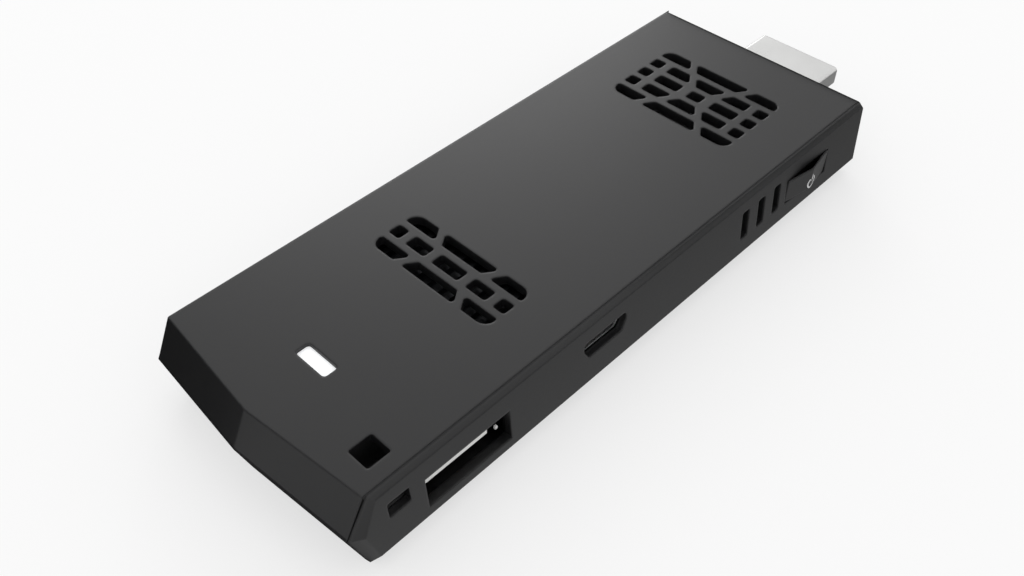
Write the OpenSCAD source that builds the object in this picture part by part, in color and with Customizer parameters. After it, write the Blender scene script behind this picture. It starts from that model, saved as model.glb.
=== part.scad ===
// Stick computer: a slim two-shell case with an HDMI plug at one end, in millimetres.
// +X points along the plug, +Z up, and the port side faces -Y.
// The origin lies on the rest face, under the middle of the whole length.

/* [Case] */
// Length from the plug-end face to the rear point
body_len = 96.6; // [96:0.1:110]
// Widest width, at the foot of the side walls
body_w = 37.6; // [37:0.1:44]
// Thickness
body_h = 12.5; // [12.3:0.1:15]
// Height of the widest line above the rest face
foot_h = 2.85; // [2.6:0.05:3.2]
// How far the rest face lies inside the widest line
foot_inset = 2.4; // [2:0.1:2.8]
// How far each side wall leans in from its foot to its rim
wall_lean = 0.7; // [0.55:0.05:0.85]
// Width of the sloped rim beside the cover
rim_w = 0.75; // [0.65:0.05:0.9]
// Fall of the rim across its width
rim_drop = 0.8; // [0.65:0.05:0.9]
// How far the rim falls back beside the plug-end face
rim_back = 0.2; // [0.1:0.05:0.4]
// Radius where the top rolls over the plug-end face
end_r = 0.9; // [0.7:0.1:1.3]
// Open seam between the two covers
seam = 0.12; // [0.08:0.02:0.2]
// Thickness of the bottom cover's floor
floor_t = 1.3; // [1:0.1:1.6]
// Wall of the bevelled foot, measured across the stick
foot_wall = 0.6; // [0.5:0.05:0.8]
// How far the inside of the bevel reaches above the widest line
foot_rise = 0.8; // [0.6:0.05:1]
// Thickness of the cover's top panel
lid_t = 1.4; // [1.2:0.1:1.6]
// Thickness of the plug-end wall
end_wall = 1.4; // [1:0.1:1.6]

/* [Rear end] */
// Height of the rear edge above the rest face
nose_h = 7.8; // [7.4:0.1:8.4]
// How far the rear point stands behind the rear corners
rear_v = 1.85; // [1.6:0.05:2.4]
// The same for the undercut below the rear edge
undercut_v = 1.45; // [1.2:0.05:1.5]
// Slope of the upper facets, from the rear edge forward to the top
facet_run = 2.45; // [2:0.05:3]
// Slope of the undercut, from the rear edge forward to the foot
undercut_run = 1.5; // [1:0.05:2]
// Thickness of the cover behind the facets
facet_wall = 1.9; // [1.6:0.1:2.2]
// Thickness of the bottom cover behind the rear point
rear_wall = 5.4; // [5.2:0.1:5.5]
// How far the rest face lies inside the undercut's foot
rear_inset = 1.2; // [1:0.1:2]
// Turn of the lower corner facets from the side walls, in degrees
corner_turn = 33; // [30:1:36]
// Lean of the corner facets, in degrees
corner_lean = 5; // [3:0.5:7]

/* [Cover details] */
// Height of the skirt that nests inside the side walls
skirt_h = 0.9; // [0.7:0.05:1.1]
// Thickness of that skirt
skirt_t = 1.0; // [0.8:0.1:1.2]
// Length of each snap ridge on the skirt
snap_len = 5; // [3:0.5:8]
// How far a snap ridge stands out
snap_out = 0.24; // [0.18:0.02:0.28]
// Height of a snap ridge
snap_h = 0.5; // [0.4:0.05:0.6]
// Number of snap ridges on each side
snap_count = 5; // [3:1:6]
// Distance of the first and last ridge from the case's ends
snap_end = 13; // [10:0.5:16]
// Room round a snap ridge in its groove
snap_room = 0.1; // [0.06:0.02:0.14]

/* [Vent grilles] */
// Centre of the fan grille from the plug-end face
fan_grille_at = 15.9; // [15.3:0.1:17]
// Centre of the second grille from the rear point
rear_grille_at = 32.3; // [31:0.1:33]
// Slot columns in the fan grille
fan_grille_cols = 5; // [3:2:7]
// Slot columns in the second grille
rear_grille_cols = 3; // [3:2:5]
// Distance between slot columns
slot_pitch = 2.9; // [2.6:0.05:3.2]
// Width of a slot
slot_w = 1.9; // [1.5:0.05:2.1]
// Half of the grille's length across the stick
grille_half = 10.1; // [9.5:0.1:11]
// Corner radius of a slot
slot_r = 0.4; // [0.2:0.05:0.6]
// Corner radius of the grille's outline
grille_r = 1.5; // [0.8:0.1:1.8]
// Where a slanted web crosses the outer column
web_cross = 4.7; // [4:0.1:5.4]
// Slope of the slanted webs, in degrees
web_angle = 35; // [25:1:45]
// Width of a slanted web, measured across the stick
web_w = 1.2; // [0.8:0.05:1.6]
// Inner and outer edge of the web that cuts off the end squares
square_web = [7.0, 8.2];
// Half length of the middle slot and inner end of the next one, fan grille
fan_mid_slot = [1.2, 2.8];
// The same for the second grille
rear_mid_slot = [2.3, 3.6];

/* [Light window] */
// Centre of the window from the rear point
led_at = 12.1; // [11.5:0.1:13]
// Window size along and across the stick
led_size = [2.0, 5.3];
// Corner radius of the window
led_r = 0.45; // [0.2:0.05:0.8]
// How far the light pipe lies below the top
led_recess = 0.45; // [0.3:0.05:0.6]
// Room round the light pipe
led_room = 0.05; // [0.03:0.01:0.1]
// How far the light pipe's flange reaches past the window
led_flange = 0.7; // [0.5:0.05:1]
// Size of the light pipe's stem along and across the stick
led_stem = [1.4, 1.8];
// Gap between the stem and the status light
led_gap = 0.1; // [0.05:0.05:0.2]
// Thickness of that flange
led_flange_t = 0.55; // [0.4:0.05:0.8]

/* [Lanyard anchor] */
// Centre of the top hole from the rear point
lanyard_at = 8.3; // [8.1:0.05:8.5]
// Size of the square top hole
lanyard_hole = 3.2; // [2.8:0.1:3.3]
// Width of the bar between the top hole and the cover's edge
lanyard_bar = 2.1; // [1.8:0.1:2.4]
// Room in front of the top hole in the pocket below it
lanyard_room = 0.2; // [0.1:0.05:0.25]
// Width and height of the hole in the side wall
lanyard_side = [3.0, 2.3];
// How far the side hole lies behind the top hole
lanyard_side_back = 0.5; // [0.3:0.05:0.55]
// Corner radius of both holes
lanyard_r = 0.3; // [0.1:0.05:0.5]
// Top of the side hole below the case top
lanyard_side_drop = 2.75; // [2.6:0.05:2.8]
// Gap between the pocket and the board below it
lanyard_gap = 0.1; // [0.05:0.05:0.15]
// Side wall of the pocket that joins the two holes
lanyard_wall = 0.6; // [0.5:0.05:0.7]

/* [HDMI plug] */
// How far the plug stands out of the case
plug_len = 10.0; // [9:0.05:12]
// Outside width of the plug
plug_w = 13.9; // [13.8:0.05:14]
// Outside height of the plug
plug_h = 4.45; // [4.4:0.05:4.5]
// Height of the plug's straight sides
plug_side = 2.75; // [2.4:0.05:3]
// Width of the plug's narrow lower face
plug_low_w = 10.2; // [9.6:0.1:11]
// Corner radius of the plug
plug_r = 0.6; // [0.4:0.05:0.8]
// Sheet thickness of the plug's shell
plug_t = 0.35; // [0.25:0.05:0.4]
// Offset of the plug from the centre line, towards the port side
plug_shift = 1.3; // [0:0.05:2]
// Depth of the plug's middle, which is also the board's middle, below the case top
plug_drop = 6.0; // [5.9:0.05:6.2]
// Length of the plug inside the case
plug_tail = 3.4; // [3:0.1:3.6]
// Room between the plug and the case
plug_room = 0.15; // [0.1:0.05:0.3]
// How far the insulator lies behind the plug's front edge
insulator_back = 0.4; // [0.2:0.1:1]
// Room round the insulator
insulator_room = 0.03; // [0.02:0.01:0.05]
// Room round the plug in the board's notch
plug_notch_room = 0.4; // [0.3:0.05:0.5]
// Gap between the plug's tail and the board behind it
plug_board_gap = 0.8; // [0.6:0.05:0.8]
// How far the board's tab reaches into the plug
plug_tab = 1.0; // [0.6:0.1:1.4]
// Room beside the tab
plug_tab_room = 0.1; // [0.05:0.05:0.2]
// How far the contacts lie behind the insulator's front
plug_contact_back = 0.5; // [0.3:0.1:1]
// Width of the slot in the insulator
plug_slot_w = 11.4; // [11:0.1:11.6]
// Distance between contacts in a row
plug_pitch = 1.0; // [0.9:0.05:1.05]
// Length of a contact's tail on the board
plug_contact_tail = 0.7; // [0.4:0.05:0.75]
// Width of a plug contact
plug_contact_w = 0.45; // [0.3:0.05:0.6]
// Thickness of every strip contact
contact_t = 0.2; // [0.15:0.01:0.25]

/* [USB socket] */
// Centre of the socket from the rear point
usb_at = 17.65; // [17.4:0.05:19]
// Width and height of the opening in the side wall
usb_opening = [12.6, 4.7];
// Width and height inside the socket's shell
usb_inner = [12.5, 5.1];
// Height of the socket's middle above the plug's
usb_rise = 0.0; // [0:0.05:0.1]
// Sheet thickness of the socket's shell
usb_t = 0.3; // [0.2:0.05:0.35]
// How far the shell lies behind the wall's inner face
usb_set_back = 0.05; // [0.05:0.05:0.2]
// Depth of the shell
usb_depth = 14; // [13.5:0.1:14.4]
// Tongue width and thickness
usb_tongue_size = [11.1, 1.84];
// How far the tongue lies behind the shell's front
usb_tongue_back = 0.35; // [0.3:0.05:0.5]
// Gap between the tongue and the shell above it
usb_tongue_gap = 0.7; // [0.5:0.05:1]
// Thickness of the block that carries the tongue
usb_block = 3; // [2:0.5:4]
// Places of the four contacts across the socket
usb_contact_x = [-3.5, -1, 1, 3.5];
// Width of a contact and its distance behind the tongue's front
usb_contact = [1.0, 1.0];
// Size of a spring window in the shell, and its distance from the front
usb_window = [2.2, 3.6, 4.5];

/* [Micro-USB socket] */
// Centre of the socket from the rear point
micro_at = 40.1; // [39.5:0.05:41]
// Width of the socket's shell at its top and at its bottom
micro_shell = [7.2, 5.6];
// Height of the socket's shell
micro_h = 2.3; // [2.2:0.05:2.4]
// Room between the shell and its wall opening
micro_room = 0.2; // [0.1:0.05:0.3]
// Sheet thickness of the shell
micro_t = 0.22; // [0.15:0.01:0.25]
// Depth of the shell
micro_depth = 5.2; // [4.8:0.1:5.6]
// Height of the shell's straight sides above its foot
micro_knee = 1.25; // [1:0.05:1.4]
// Corner radius of the shell
micro_r = 0.35; // [0.3:0.05:0.5]
// Width and thickness of the tongue
micro_tongue = [3.8, 0.6];
// Height of the tongue's middle above the board
micro_tongue_z = 1.43; // [1.3:0.02:1.5]
// How far the tongue lies behind the shell's front
micro_tongue_back = 0.6; // [0.4:0.1:0.8]
// Width and thickness of the block that carries the tongue
micro_block = [4.8, 1.0];
// Distance between contacts, and width of one
micro_contact = [0.65, 0.3];

/* [Side vents] */
// First vent from the plug-end face
vent_at = 21.2; // [21:0.1:22]
// Number of vents
vent_count = 3; // [1:1:5]
// Distance between vents
vent_pitch = 3.6; // [2.8:0.1:4.4]
// Width and height of a vent
vent_size = [1.55, 4.6];
// Depth of the vents' middle below the case top
vent_drop = 4.85; // [4.7:0.05:5]
// Corner radius of a vent
vent_r = 0.35; // [0.1:0.05:0.6]

/* [Power button] */
// Centre of the button from the plug-end face
button_at = 13.8; // [13.7:0.1:14.5]
// Width and height of the button's opening
button_opening = [10.0, 4.0];
// Height of the button's middle above the plug's
button_rise = 0.7; // [0.6:0.05:0.9]
// Room round the button
button_room = 0.2; // [0.1:0.05:0.25]
// How far the ridge stands out of the wall
button_ridge = 0.8; // [0.5:0.05:0.9]
// Distance of the ridge from the button's middle, towards the plug
button_ridge_at = 0.1; // [0:0.1:1]
// Wall of the roof where its top is open
button_skin = 0.22; // [0.2:0.02:0.3]
// Depth of the pocket under the open top
button_pocket = 2.6; // [1.5:0.1:3]
// Thickness of the flange that keeps the button in
button_flange_t = 0.5; // [0.4:0.05:0.6]
// How far the flange reaches past the opening
button_flange = 0.4; // [0.3:0.05:0.5]
// How far the button goes in
button_travel = 0.3; // [0.2:0.05:0.35]
// Slack between the flange and the wall
button_slack = 0.06; // [0.04:0.01:0.1]
// Length, width and height of the stem that works the switch
button_stem = [0.35, 2.4, 1.0];
// How far the roof reaches into the wall
button_root = 0.6; // [0.5:0.05:0.7]
// Gap between the button and the switch at rest
button_gap = 0.05; // [0.03:0.01:0.08]

/* [Tact switch] */
// Length and height of the switch body
switch_size = [4.7, 1.7];
// Gap between the switch and the fan
switch_fan_gap = 0.9; // [0.6:0.05:1.2]
// Plunger width and height
switch_plunger_size = [2.2, 1.0];
// How far the plunger stands out of the body
switch_reach = 0.7; // [0.6:0.05:0.9]
// Depth of the plunger's guide in the body
switch_guide = 1.6; // [1.4:0.1:2]
// Room behind the plunger at full travel
switch_back_room = 0.3; // [0.2:0.05:0.4]
// Running room of the plunger in its guide
switch_room = 0.05; // [0.03:0.01:0.1]

/* [Board] */
// Board thickness
board_t = 1.0; // [0.8:0.05:1.2]
// Room between the board and the side walls
board_room = 0.5; // [0.4:0.05:0.8]
// Room between the board and the end walls
board_end_room = 0.5; // [0.3:0.05:0.8]
// Depth of the notch behind the power button
board_notch = 1.2; // [1:0.1:1.4]
// Room beside the button's opening in that notch
board_notch_room = 1; // [0.8:0.1:1.4]
// Room round the USB socket in its cut-out
board_cut_room = 0.25; // [0.2:0.05:0.4]
// Front posts from the plug-end face and from the board's edges
front_post = [5, 3.4];
// Rear post from the rear point and from the board's far edge
rear_post = [9.3, 4.9];
// Side post from the rear point and from the board's port edge
side_post = [27.8, 2.7];
// Outside diameter of a mounting post
post_d = 4; // [3.5:0.1:4.5]
// Shank diameter of a board screw
screw_d = 1.6; // [1.4:0.1:1.8]
// Head diameter of a board screw
screw_head_d = 3; // [2.6:0.1:3.2]
// Head height of a board screw
screw_head_h = 0.8; // [0.6:0.1:1]
// Depth of a screw in its post
screw_bite = 3; // [2:0.5:3.5]
// Room under a screw's end
screw_end_room = 0.3; // [0.1:0.05:0.4]
// Room round a screw's shank
screw_room = 0.03; // [0.02:0.01:0.1]

/* [Chips] */
// Processor size
processor_size = [15, 15, 1.1];
// Processor centre from the plug-end face and from the centre line
processor_at = [47.3, 1];
// Size of the bare die on the processor
die_size = [9, 10, 0.35];
// Memory chip size
memory_size = [8, 11, 1.0];
// Memory chips' centre from the plug-end face and from the centre line
memory_at = [32.6, 6.5];
// Storage chip size
storage_size = [11.5, 13, 1.0];
// Storage chip centre from the plug-end face and from the centre line
storage_at = [45.3, -6.9];
// Power chip size
power_chip_size = [7, 7, 0.9];
// Distance of the power chip from the centre line
power_chip_y = 4; // [3.6:0.1:5]
// Inductor size
inductor_size = [3, 3, 1.4];
// Distances between inductors along and across the stick
inductor_pitch = [4, 4.2];
// Distance of the first inductor row from the centre line
inductor_y = 2.5; // [2:0.1:3]
// Number of capacitors behind the processor
capacitor_count = 8; // [4:1:8]
// Distance between them
capacitor_pitch = 1.8; // [1.2:0.1:1.9]
// Gap between them and the processor
capacitor_gap = 0.2; // [0.1:0.05:0.4]
// Capacitor size
capacitor_size = [1.0, 0.55, 0.55];
// Clock crystal size
crystal_size = [3.2, 2.5, 0.7];
// Clock crystal from the processor's middle and from the centre line
crystal_at = [10.5, -8];
// Status light size
status_led_size = [1.6, 0.8, 0.65];

/* [Radio] */
// Radio module size
radio_size = [10.4, 12, 0.6];
// Near corner of the module from the rear point and from the centre line
radio_at = [23.7, 1.6];
// Diameter and height of the module's antenna sockets
radio_socket = [1.6, 0.7];
// Distance of those sockets from the module's ends and from its far edge
radio_socket_at = [2.4, 1.4];
// Distance of the can from the module's edges, and width of the strip left for the sockets
can_inset = [0.5, 3];
// Height of the shield can
can_h = 1.3; // [1:0.1:1.5]
// Sheet thickness of the can
can_t = 0.2; // [0.15:0.01:0.25]
// Main antenna: length, width, distance from the rear point and from the antenna edge
main_film = [16.5, 8, 6.5, 1.5];
// Second antenna: length, width and distance from the micro-USB socket's middle
second_film = [18, 5, 4.35];
// Gap between the antennas and the cover's skirt
antenna_gap = 0.3; // [0.2:0.05:0.5]
// Thickness of an antenna film
antenna_t = 0.2; // [0.1:0.02:0.25]
// Gap between a lead and what it passes
lead_gap = 0.05; // [0.03:0.01:0.1]
// Gap between the long lead and the USB socket
lead_side_gap = 0.7; // [0.65:0.05:0.75]
// Gap between the long lead and the micro-USB socket
lead_micro_gap = 0.7; // [0.6:0.05:0.8]
// Diameter of an antenna lead
lead_d = 0.8; // [0.6:0.05:0.85]

/* [Card socket] */
// Centre of the socket from the plug-end face
card_at = 50.3; // [49.3:0.5:51.3]
// Socket width and depth
card_size = [14, 14.2];
// Height of the socket below the board
card_h = 1.9; // [1.8:0.05:2]
// Width and height of the slot in the side wall
card_slot = [12.4, 1.5];
// Sheet thickness of the socket's shell
card_t = 0.2; // [0.15:0.01:0.25]
// Width of a side rail
card_rail = 1.3; // [1.2:0.05:1.4]
// Travel of the slider
card_travel = 1.5; // [1:0.1:1.8]
// Thickness of the base above the card
card_roof = 0.5; // [0.4:0.05:0.6]
// Thickness of the base's back wall
card_back_wall = 1.2; // [1:0.1:1.4]
// Width of the thin rail beside the slider
card_thin_rail = 0.3; // [0.2:0.05:0.4]
// Number of card contacts
card_contact_count = 8; // [6:1:8]
// Distance between contacts, and width and length of one
card_contact = [1.1, 0.6, 4.3];
// Width and length of the slider
card_slider_size = [0.85, 6];
// Reach and thickness of the slider's finger
card_finger = [0.95, 0.8];
// Room behind the slider at full travel
card_end_room = 0.4; // [0.2:0.05:0.6]
// How far the slot lies below the socket's middle
card_slot_drop = 0.2; // [0:0.05:0.3]
// Corner radius of the slot
card_slot_r = 0.5; // [0.2:0.05:0.7]
// Running room of the slider
card_room = 0.1; // [0.06:0.02:0.14]

/* [Heat spreader] */
// Thermal pad length and width
pad_size = [12, 13];
// Gap filled by the thermal pad
pad_t = 0.5; // [0.4:0.05:0.8]
// Thickness of the plate
plate_t = 0.7; // [0.6:0.05:0.8]
// Number of fins under the second grille
fin_count = 11; // [7:2:15]
// Distance between fins
fin_pitch = 1.9; // [1.6:0.05:2]
// Thickness of a fin
fin_t = 0.7; // [0.4:0.05:0.9]
// Length of a fin
fin_len = 10.8; // [8:0.2:12]
// Room between the fins and the cover
fin_headroom = 0.8; // [0.6:0.05:1.2]
// Distance of the first fin from the plate's edge
fin_edge = 0.8; // [0.5:0.05:1]
// How far the plate reaches past the second grille's middle
plate_rear_reach = 6.3; // [6:0.1:6.5]
// Front edge of the plate from the plug-end face
plate_front_at = 29.6; // [29.3:0.1:31]
// Gap between the plate and the micro-USB socket
plate_side_gap = 1.9; // [1.8:0.05:2.2]
// Distance of the plate's far edge from the board's edge
plate_far_gap = 3.4; // [3:0.1:3.6]
// Distance of a leg's middle from the plate's edge
leg_edge = 1.3; // [1.3:0.05:1.5]
// Front legs from the plug-end face
front_leg_at = 38.2; // [38.1:0.05:38.3]
// Rear legs from the second grille's middle
rear_leg_gap = 7.7; // [7.2:0.1:8]
// Diameter of the plate's legs
leg_d = 2.6; // [2.4:0.1:2.8]
// Shank diameter of the small screws
small_screw_d = 1.2; // [1:0.1:1.4]
// Head diameter of the small screws
small_head_d = 2.2; // [2:0.1:2.4]
// Head height of the small screws
small_head_h = 0.5; // [0.4:0.05:0.7]

/* [Fan] */
// Outside diameter of the fan housing
fan_d = 22; // [21:0.2:22.4]
// Wall and floor thickness of the housing
fan_wall = 0.5; // [0.4:0.05:0.7]
// Depth of the housing below the board
fan_below = 2.6; // [2.2:0.1:2.8]
// Room between the fan's lid and the cover
fan_headroom = 0.3; // [0.2:0.05:0.5]
// Lid thickness
fan_lid_t = 0.4; // [0.3:0.05:0.5]
// Diameter of the air inlet in the lid
fan_inlet_d = 16.4; // [14:0.2:18]
// Number of blades
blade_count = 11; // [7:2:15]
// Room between the blades and the housing
blade_gap = 0.7; // [0.5:0.05:1]
// Thickness of a blade
blade_t = 0.5; // [0.3:0.05:0.7]
// Radius that a blade is curved to
blade_curve = 7; // [6:0.5:10]
// Hub diameter
hub_d = 10; // [9.6:0.1:10.4]
// Hub wall thickness
hub_t = 0.4; // [0.3:0.05:0.5]
// Gap above and below the rotor
rotor_gap = 0.45; // [0.3:0.05:0.6]
// Shaft diameter
shaft_d = 1.0; // [0.8:0.1:1.2]
// Radial running room of the shaft
shaft_room = 0.02; // [0.01:0.01:0.05]
// Outside diameter of the bearing sleeve
bearing_d = 3; // [2.6:0.1:3.2]
// Wall of the boss that holds the sleeve
boss_wall = 0.6; // [0.5:0.05:0.8]
// Thickness of the magnet ring
magnet_t = 0.5; // [0.4:0.05:0.6]
// Gap between magnet and stator
magnet_gap = 0.3; // [0.2:0.05:0.4]
// Number of stator poles
pole_count = 6; // [4:2:8]
// Direction of the air outlet and half its angle, in degrees
outlet = [243, 32];
// Directions of the three ears, in degrees
ears = [50, 125, 320];
// Reach of an ear past the housing
ear_reach = 3; // [2.6:0.1:3.2]
// Width of an ear
ear_w = 3.2; // [2.8:0.1:3.6]
// Thickness of an ear
ear_t = 0.6; // [0.5:0.05:0.8]
// Room between a screw's head and the ear's end
ear_end_room = 0.2; // [0.1:0.05:0.3]
// Edges left below and above the outlet
outlet_edge = [0.3, 0.4];
// Room of the pressed fan pieces, each side
press_room = 0.01; // [0:0.005:0.02]
// How far the hub stays below the rotor's top
hub_drop = 0.4; // [0.2:0.05:0.6]
// Thickness of the hub's top
hub_plate = 0.6; // [0.4:0.05:0.8]
// How far the blades stay inside the rotor's height
blade_inset = 0.2; // [0.1:0.05:0.3]
// How deep a blade is rooted in the hub
blade_root = 0.1; // [0.05:0.05:0.2]
// Distance of the blade curve's start from the hub's edge
blade_start = 0.4; // [0.2:0.05:0.6]
// Height of the magnet and its distance above the rotor's lower edge
magnet_size = [2.4, 0.2];
// Height of the stator and its distance above the floor
stator_size = [1.6, 0.5];
// Width of a stator pole and of its shoe, and thickness of the shoe
pole_size = [1.0, 2.4, 0.4];
// Wall of the stator's core
stator_core = 0.5; // [0.3:0.05:0.6]
// How far a pole stays inside the stator's height
pole_inset = 0.2; // [0.1:0.05:0.3]
// Depth of the bearing's end below the rotor's top
bearing_drop = 2.4; // [2.2:0.1:2.6]
// Thickness of the bearing's closed end, and the shaft's gap above it
bearing_floor = [0.4, 0.1];
// Fan connector: length, width and height
connector_size = [4.4, 2.15, 1.6];
// Connector's middle from the plug-end face
connector_at = 27.5; // [27.3:0.1:27.7]
// Distance of the connector from the board's edge
connector_edge = 0.4; // [0.3:0.05:0.6]
// Diameter of the fan's lead
fan_lead_d = 0.8; // [0.6:0.05:0.85]
// Height of the lead's middle above the board
fan_lead_z = 0.9; // [0.6:0.05:1]
// Direction in which the lead leaves the housing, in degrees
fan_lead_angle = 140; // [138:1:144]
// Room between the housing and the board
fan_room = 0.4; // [0.3:0.05:0.6]

/* [Hidden] */
$fn = 64;
case_black = "#2b2b2c";
part_black = "#1c1c1d";
metal = "#c9cbcd";
contact_gold = "#c8a24a";
board_green = "#1f4d36";
reach = 80;
skin = 0.01;

// Places along the stick
plug_face_x = (body_len - plug_len) / 2;
rear_x = plug_face_x - body_len;
function fx(d) = plug_face_x - d;
function rx(d) = rear_x + d;

// Case section
half_w = body_w / 2;
rim_out_y = half_w - wall_lean;
rim_in_y = rim_out_y - rim_w;
cover_y = rim_in_y - seam / 2;
cheek_y = rim_in_y + seam / 2;
rear_angle = atan(rear_v / half_w);
undercut_angle = atan(undercut_v / half_w);
facet_slope = facet_run / (body_h - nose_h);
undercut_slope = undercut_run / (nose_h - foot_h);
facet_lean = atan(facet_slope);
rim_angle = atan(rim_drop / rim_w);
end_angle = atan(rim_back / rim_w);
lid_z = body_h - lid_t;
skirt_z = lid_z - skirt_h;
cavity_x = rx(rear_wall);
cavity_end_x = plug_face_x - end_wall;
floor_y = half_w - foot_inset - foot_wall;
bevel_top_z = foot_h + foot_rise;
plug_z = body_h - plug_drop;
usb_z = plug_z + usb_rise;
vent_z = body_h - vent_drop;
button_z = plug_z + button_rise;
roll_flats = 6;

// Board levels
board_z = plug_z - board_t / 2;
board_top = plug_z + board_t / 2;
board_y = cheek_y - board_room;
board_front = cavity_end_x - board_end_room;
board_rear = cavity_x + board_end_room;
plug_y = -plug_shift;

// Fan
fan_x = fx(fan_grille_at);
fan_r = fan_d / 2;
fan_floor_z = board_z - fan_below;
fan_top = lid_z - fan_headroom - fan_lid_t;
fan_inner_z = fan_floor_z + fan_wall;
rotor_low = fan_inner_z + rotor_gap;
rotor_top = fan_top - rotor_gap;
blade_d = fan_d - 2 * fan_wall - 2 * blade_gap;
ear_hole_r = fan_r + ear_reach - small_head_d / 2 - ear_end_room;
connector_x = fx(connector_at);
connector_y = board_y - connector_edge - connector_size[1];

// Sockets
usb_x = rx(usb_at);
usb_front = -(cheek_y - usb_set_back);
usb_back = usb_front + usb_depth;
usb_shell_w = usb_inner[0] + 2 * usb_t;
usb_shell_h = usb_inner[1] + 2 * usb_t;
usb_tongue_top = usb_z + usb_inner[1] / 2 - usb_tongue_gap;
micro_x = rx(micro_at);
micro_front = -cheek_y;
micro_back = micro_front + micro_depth;
card_x = fx(card_at);
card_front = board_y;
card_back = card_front - card_size[1];
card_low = board_z - card_h;
card_top = board_z - card_roof;

// Button and switch
button_x = fx(button_at);
button_size = [button_opening[0] - 2 * button_room, button_opening[1] - 2 * button_room];
wall_y_at_button = half_w - wall_lean * (button_z - foot_h) / (body_h - rim_drop - foot_h);
flange_front = cheek_y - button_slack;
flange_back = flange_front - button_flange_t;
stem_y = flange_back - button_stem[0];
plunger_y = stem_y - button_gap;
switch_y = plunger_y - switch_reach;
switch_depth = switch_y - fan_r - switch_fan_gap;

// Heat spreader and posts
plate_z = board_top + processor_size[2] + pad_t;
plate_top = plate_z + plate_t;
plate_rear = rx(rear_grille_at - plate_rear_reach);
plate_front = fx(plate_front_at);
plate_y = [micro_back + plate_side_gap, board_y - plate_far_gap];
leg_y = [plate_y[0] + leg_edge, plate_y[1] - leg_edge];
front_leg_x = fx(front_leg_at);
rear_leg_x = rx(rear_grille_at + rear_leg_gap);
leg_points = [[front_leg_x, leg_y[0]], [front_leg_x, leg_y[1]], [rear_leg_x, leg_y[0]], [rear_leg_x, leg_y[1]]];
post_points = [
    [fx(front_post[0]), board_y - front_post[1]], [fx(front_post[0]), front_post[1] - board_y],
    [rx(rear_post[0]), board_y - rear_post[1]], [rx(side_post[0]), side_post[1] - board_y]];

// Chips and radio
processor_place = [fx(processor_at[0]), processor_at[1]];
processor_rear = processor_place[0] - processor_size[0] / 2;
capacitor_x = processor_rear - capacitor_gap - capacitor_size[0] / 2;
power_x = (capacitor_x - capacitor_size[0] / 2 + rx(radio_at[0])) / 2;
radio_sockets = [rx(radio_at[0] - radio_size[0] + radio_socket_at[0]), rx(radio_at[0] - radio_socket_at[0])];
radio_socket_y = radio_at[1] + radio_size[1] - radio_socket_at[1];
antenna_edge = cover_y - skirt_t - antenna_gap;
lead_z = board_top + radio_size[2] + radio_socket[1] + lead_d / 2 + lead_gap;
lead_end_z = lid_z - antenna_t - lead_d / 2 - lead_gap;

// Outlines and sweeps

function unit(v) = v / norm(v);

// Points of an arc of radius r that rounds the corner b between a and c
function corner(a, b, c, r, n) =
    let (
        u = unit(a - b),
        w = unit(c - b),
        half = acos(u * w) / 2,
        o = b + unit(u + w) * r / sin(half),
        p = b + u * r / tan(half) - o,
        q = b + w * r / tan(half) - o,
        start = atan2(p[1], p[0]),
        turn = (atan2(q[1], q[0]) - start + 540) % 360 - 180
    )
    [for (i = [0:n]) o + r * [cos(start + turn * i / n), sin(start + turn * i / n)]];

// A polygon with each corner rounded to its own radius
function rounded(points, radii, n = 4) =
    let (k = len(points))
    [for (i = [0:k - 1]) each corner(points[(i + k - 1) % k], points[i], points[(i + 1) % k], radii[i], n)];

function rect(w, h) = [[-w / 2, -h / 2], [w / 2, -h / 2], [w / 2, h / 2], [-w / 2, h / 2]];
function same(r, n) = [for (i = [1:n]) r];

module rounded_rect(w, h, r) {
    polygon(rounded(rect(w, h), same(r, 4)));
}

module along_x(x0, x1) {
    translate([x0, 0, 0]) rotate([90, 0, 90]) linear_extrude(x1 - x0) children();
}

module along_y(y0, y1) {
    translate([0, y1, 0]) rotate([90, 0, 0]) linear_extrude(y1 - y0) children();
}

module up(z0, z1) {
    translate([0, 0, z0]) linear_extrude(z1 - z0) children();
}

// A box between two corners
module box(low, high) {
    translate(low) cube(high - low);
}

// A chip that stands on the board (side = 1), maybe lifted, or hangs below it (side = -1)
module chip(place, size, side = 1, lift = 0) {
    z = side > 0 ? board_top + lift : board_z - size[2];
    translate([place[0] - size[0] / 2, place[1] - size[1] / 2, z]) cube(size);
}

// Case forms

module case_section() {
    polygon([
        [-half_w + foot_inset, 0], [half_w - foot_inset, 0], [half_w, foot_h],
        [rim_out_y, body_h - rim_drop], [rim_in_y, body_h], [-rim_in_y, body_h],
        [-rim_out_y, body_h - rim_drop], [-half_w, foot_h]]);
}

// The rear edge falls towards the sides, because the undercut's point is blunter than the facets'
nose_fall = (rear_v - undercut_v) / half_w / (facet_slope + undercut_slope);
function edge_z(y) = nose_h - nose_fall * abs(y);

// Side outlines of the rear end: the upper facet, and the undercut with the foot bevel
module facet_outline(inset) {
    polygon([
        [rear_x + inset - facet_slope * nose_h, 0], [rear_x + inset + facet_run, body_h],
        [reach, body_h], [reach, 0]]);
}

module undercut_outline(inset) {
    polygon([
        [rear_x + inset - undercut_slope * (body_h - nose_h), body_h], [reach, body_h], [reach, 0],
        [rear_x + inset + undercut_run + rear_inset, 0], [rear_x + inset + undercut_run, foot_h]]);
}

module turned_sweep(angle) {
    translate([rear_x, 0, 0]) rotate([0, 0, angle]) translate([-rear_x, 0, 0])
        along_y(-reach, reach) children();
}

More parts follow.
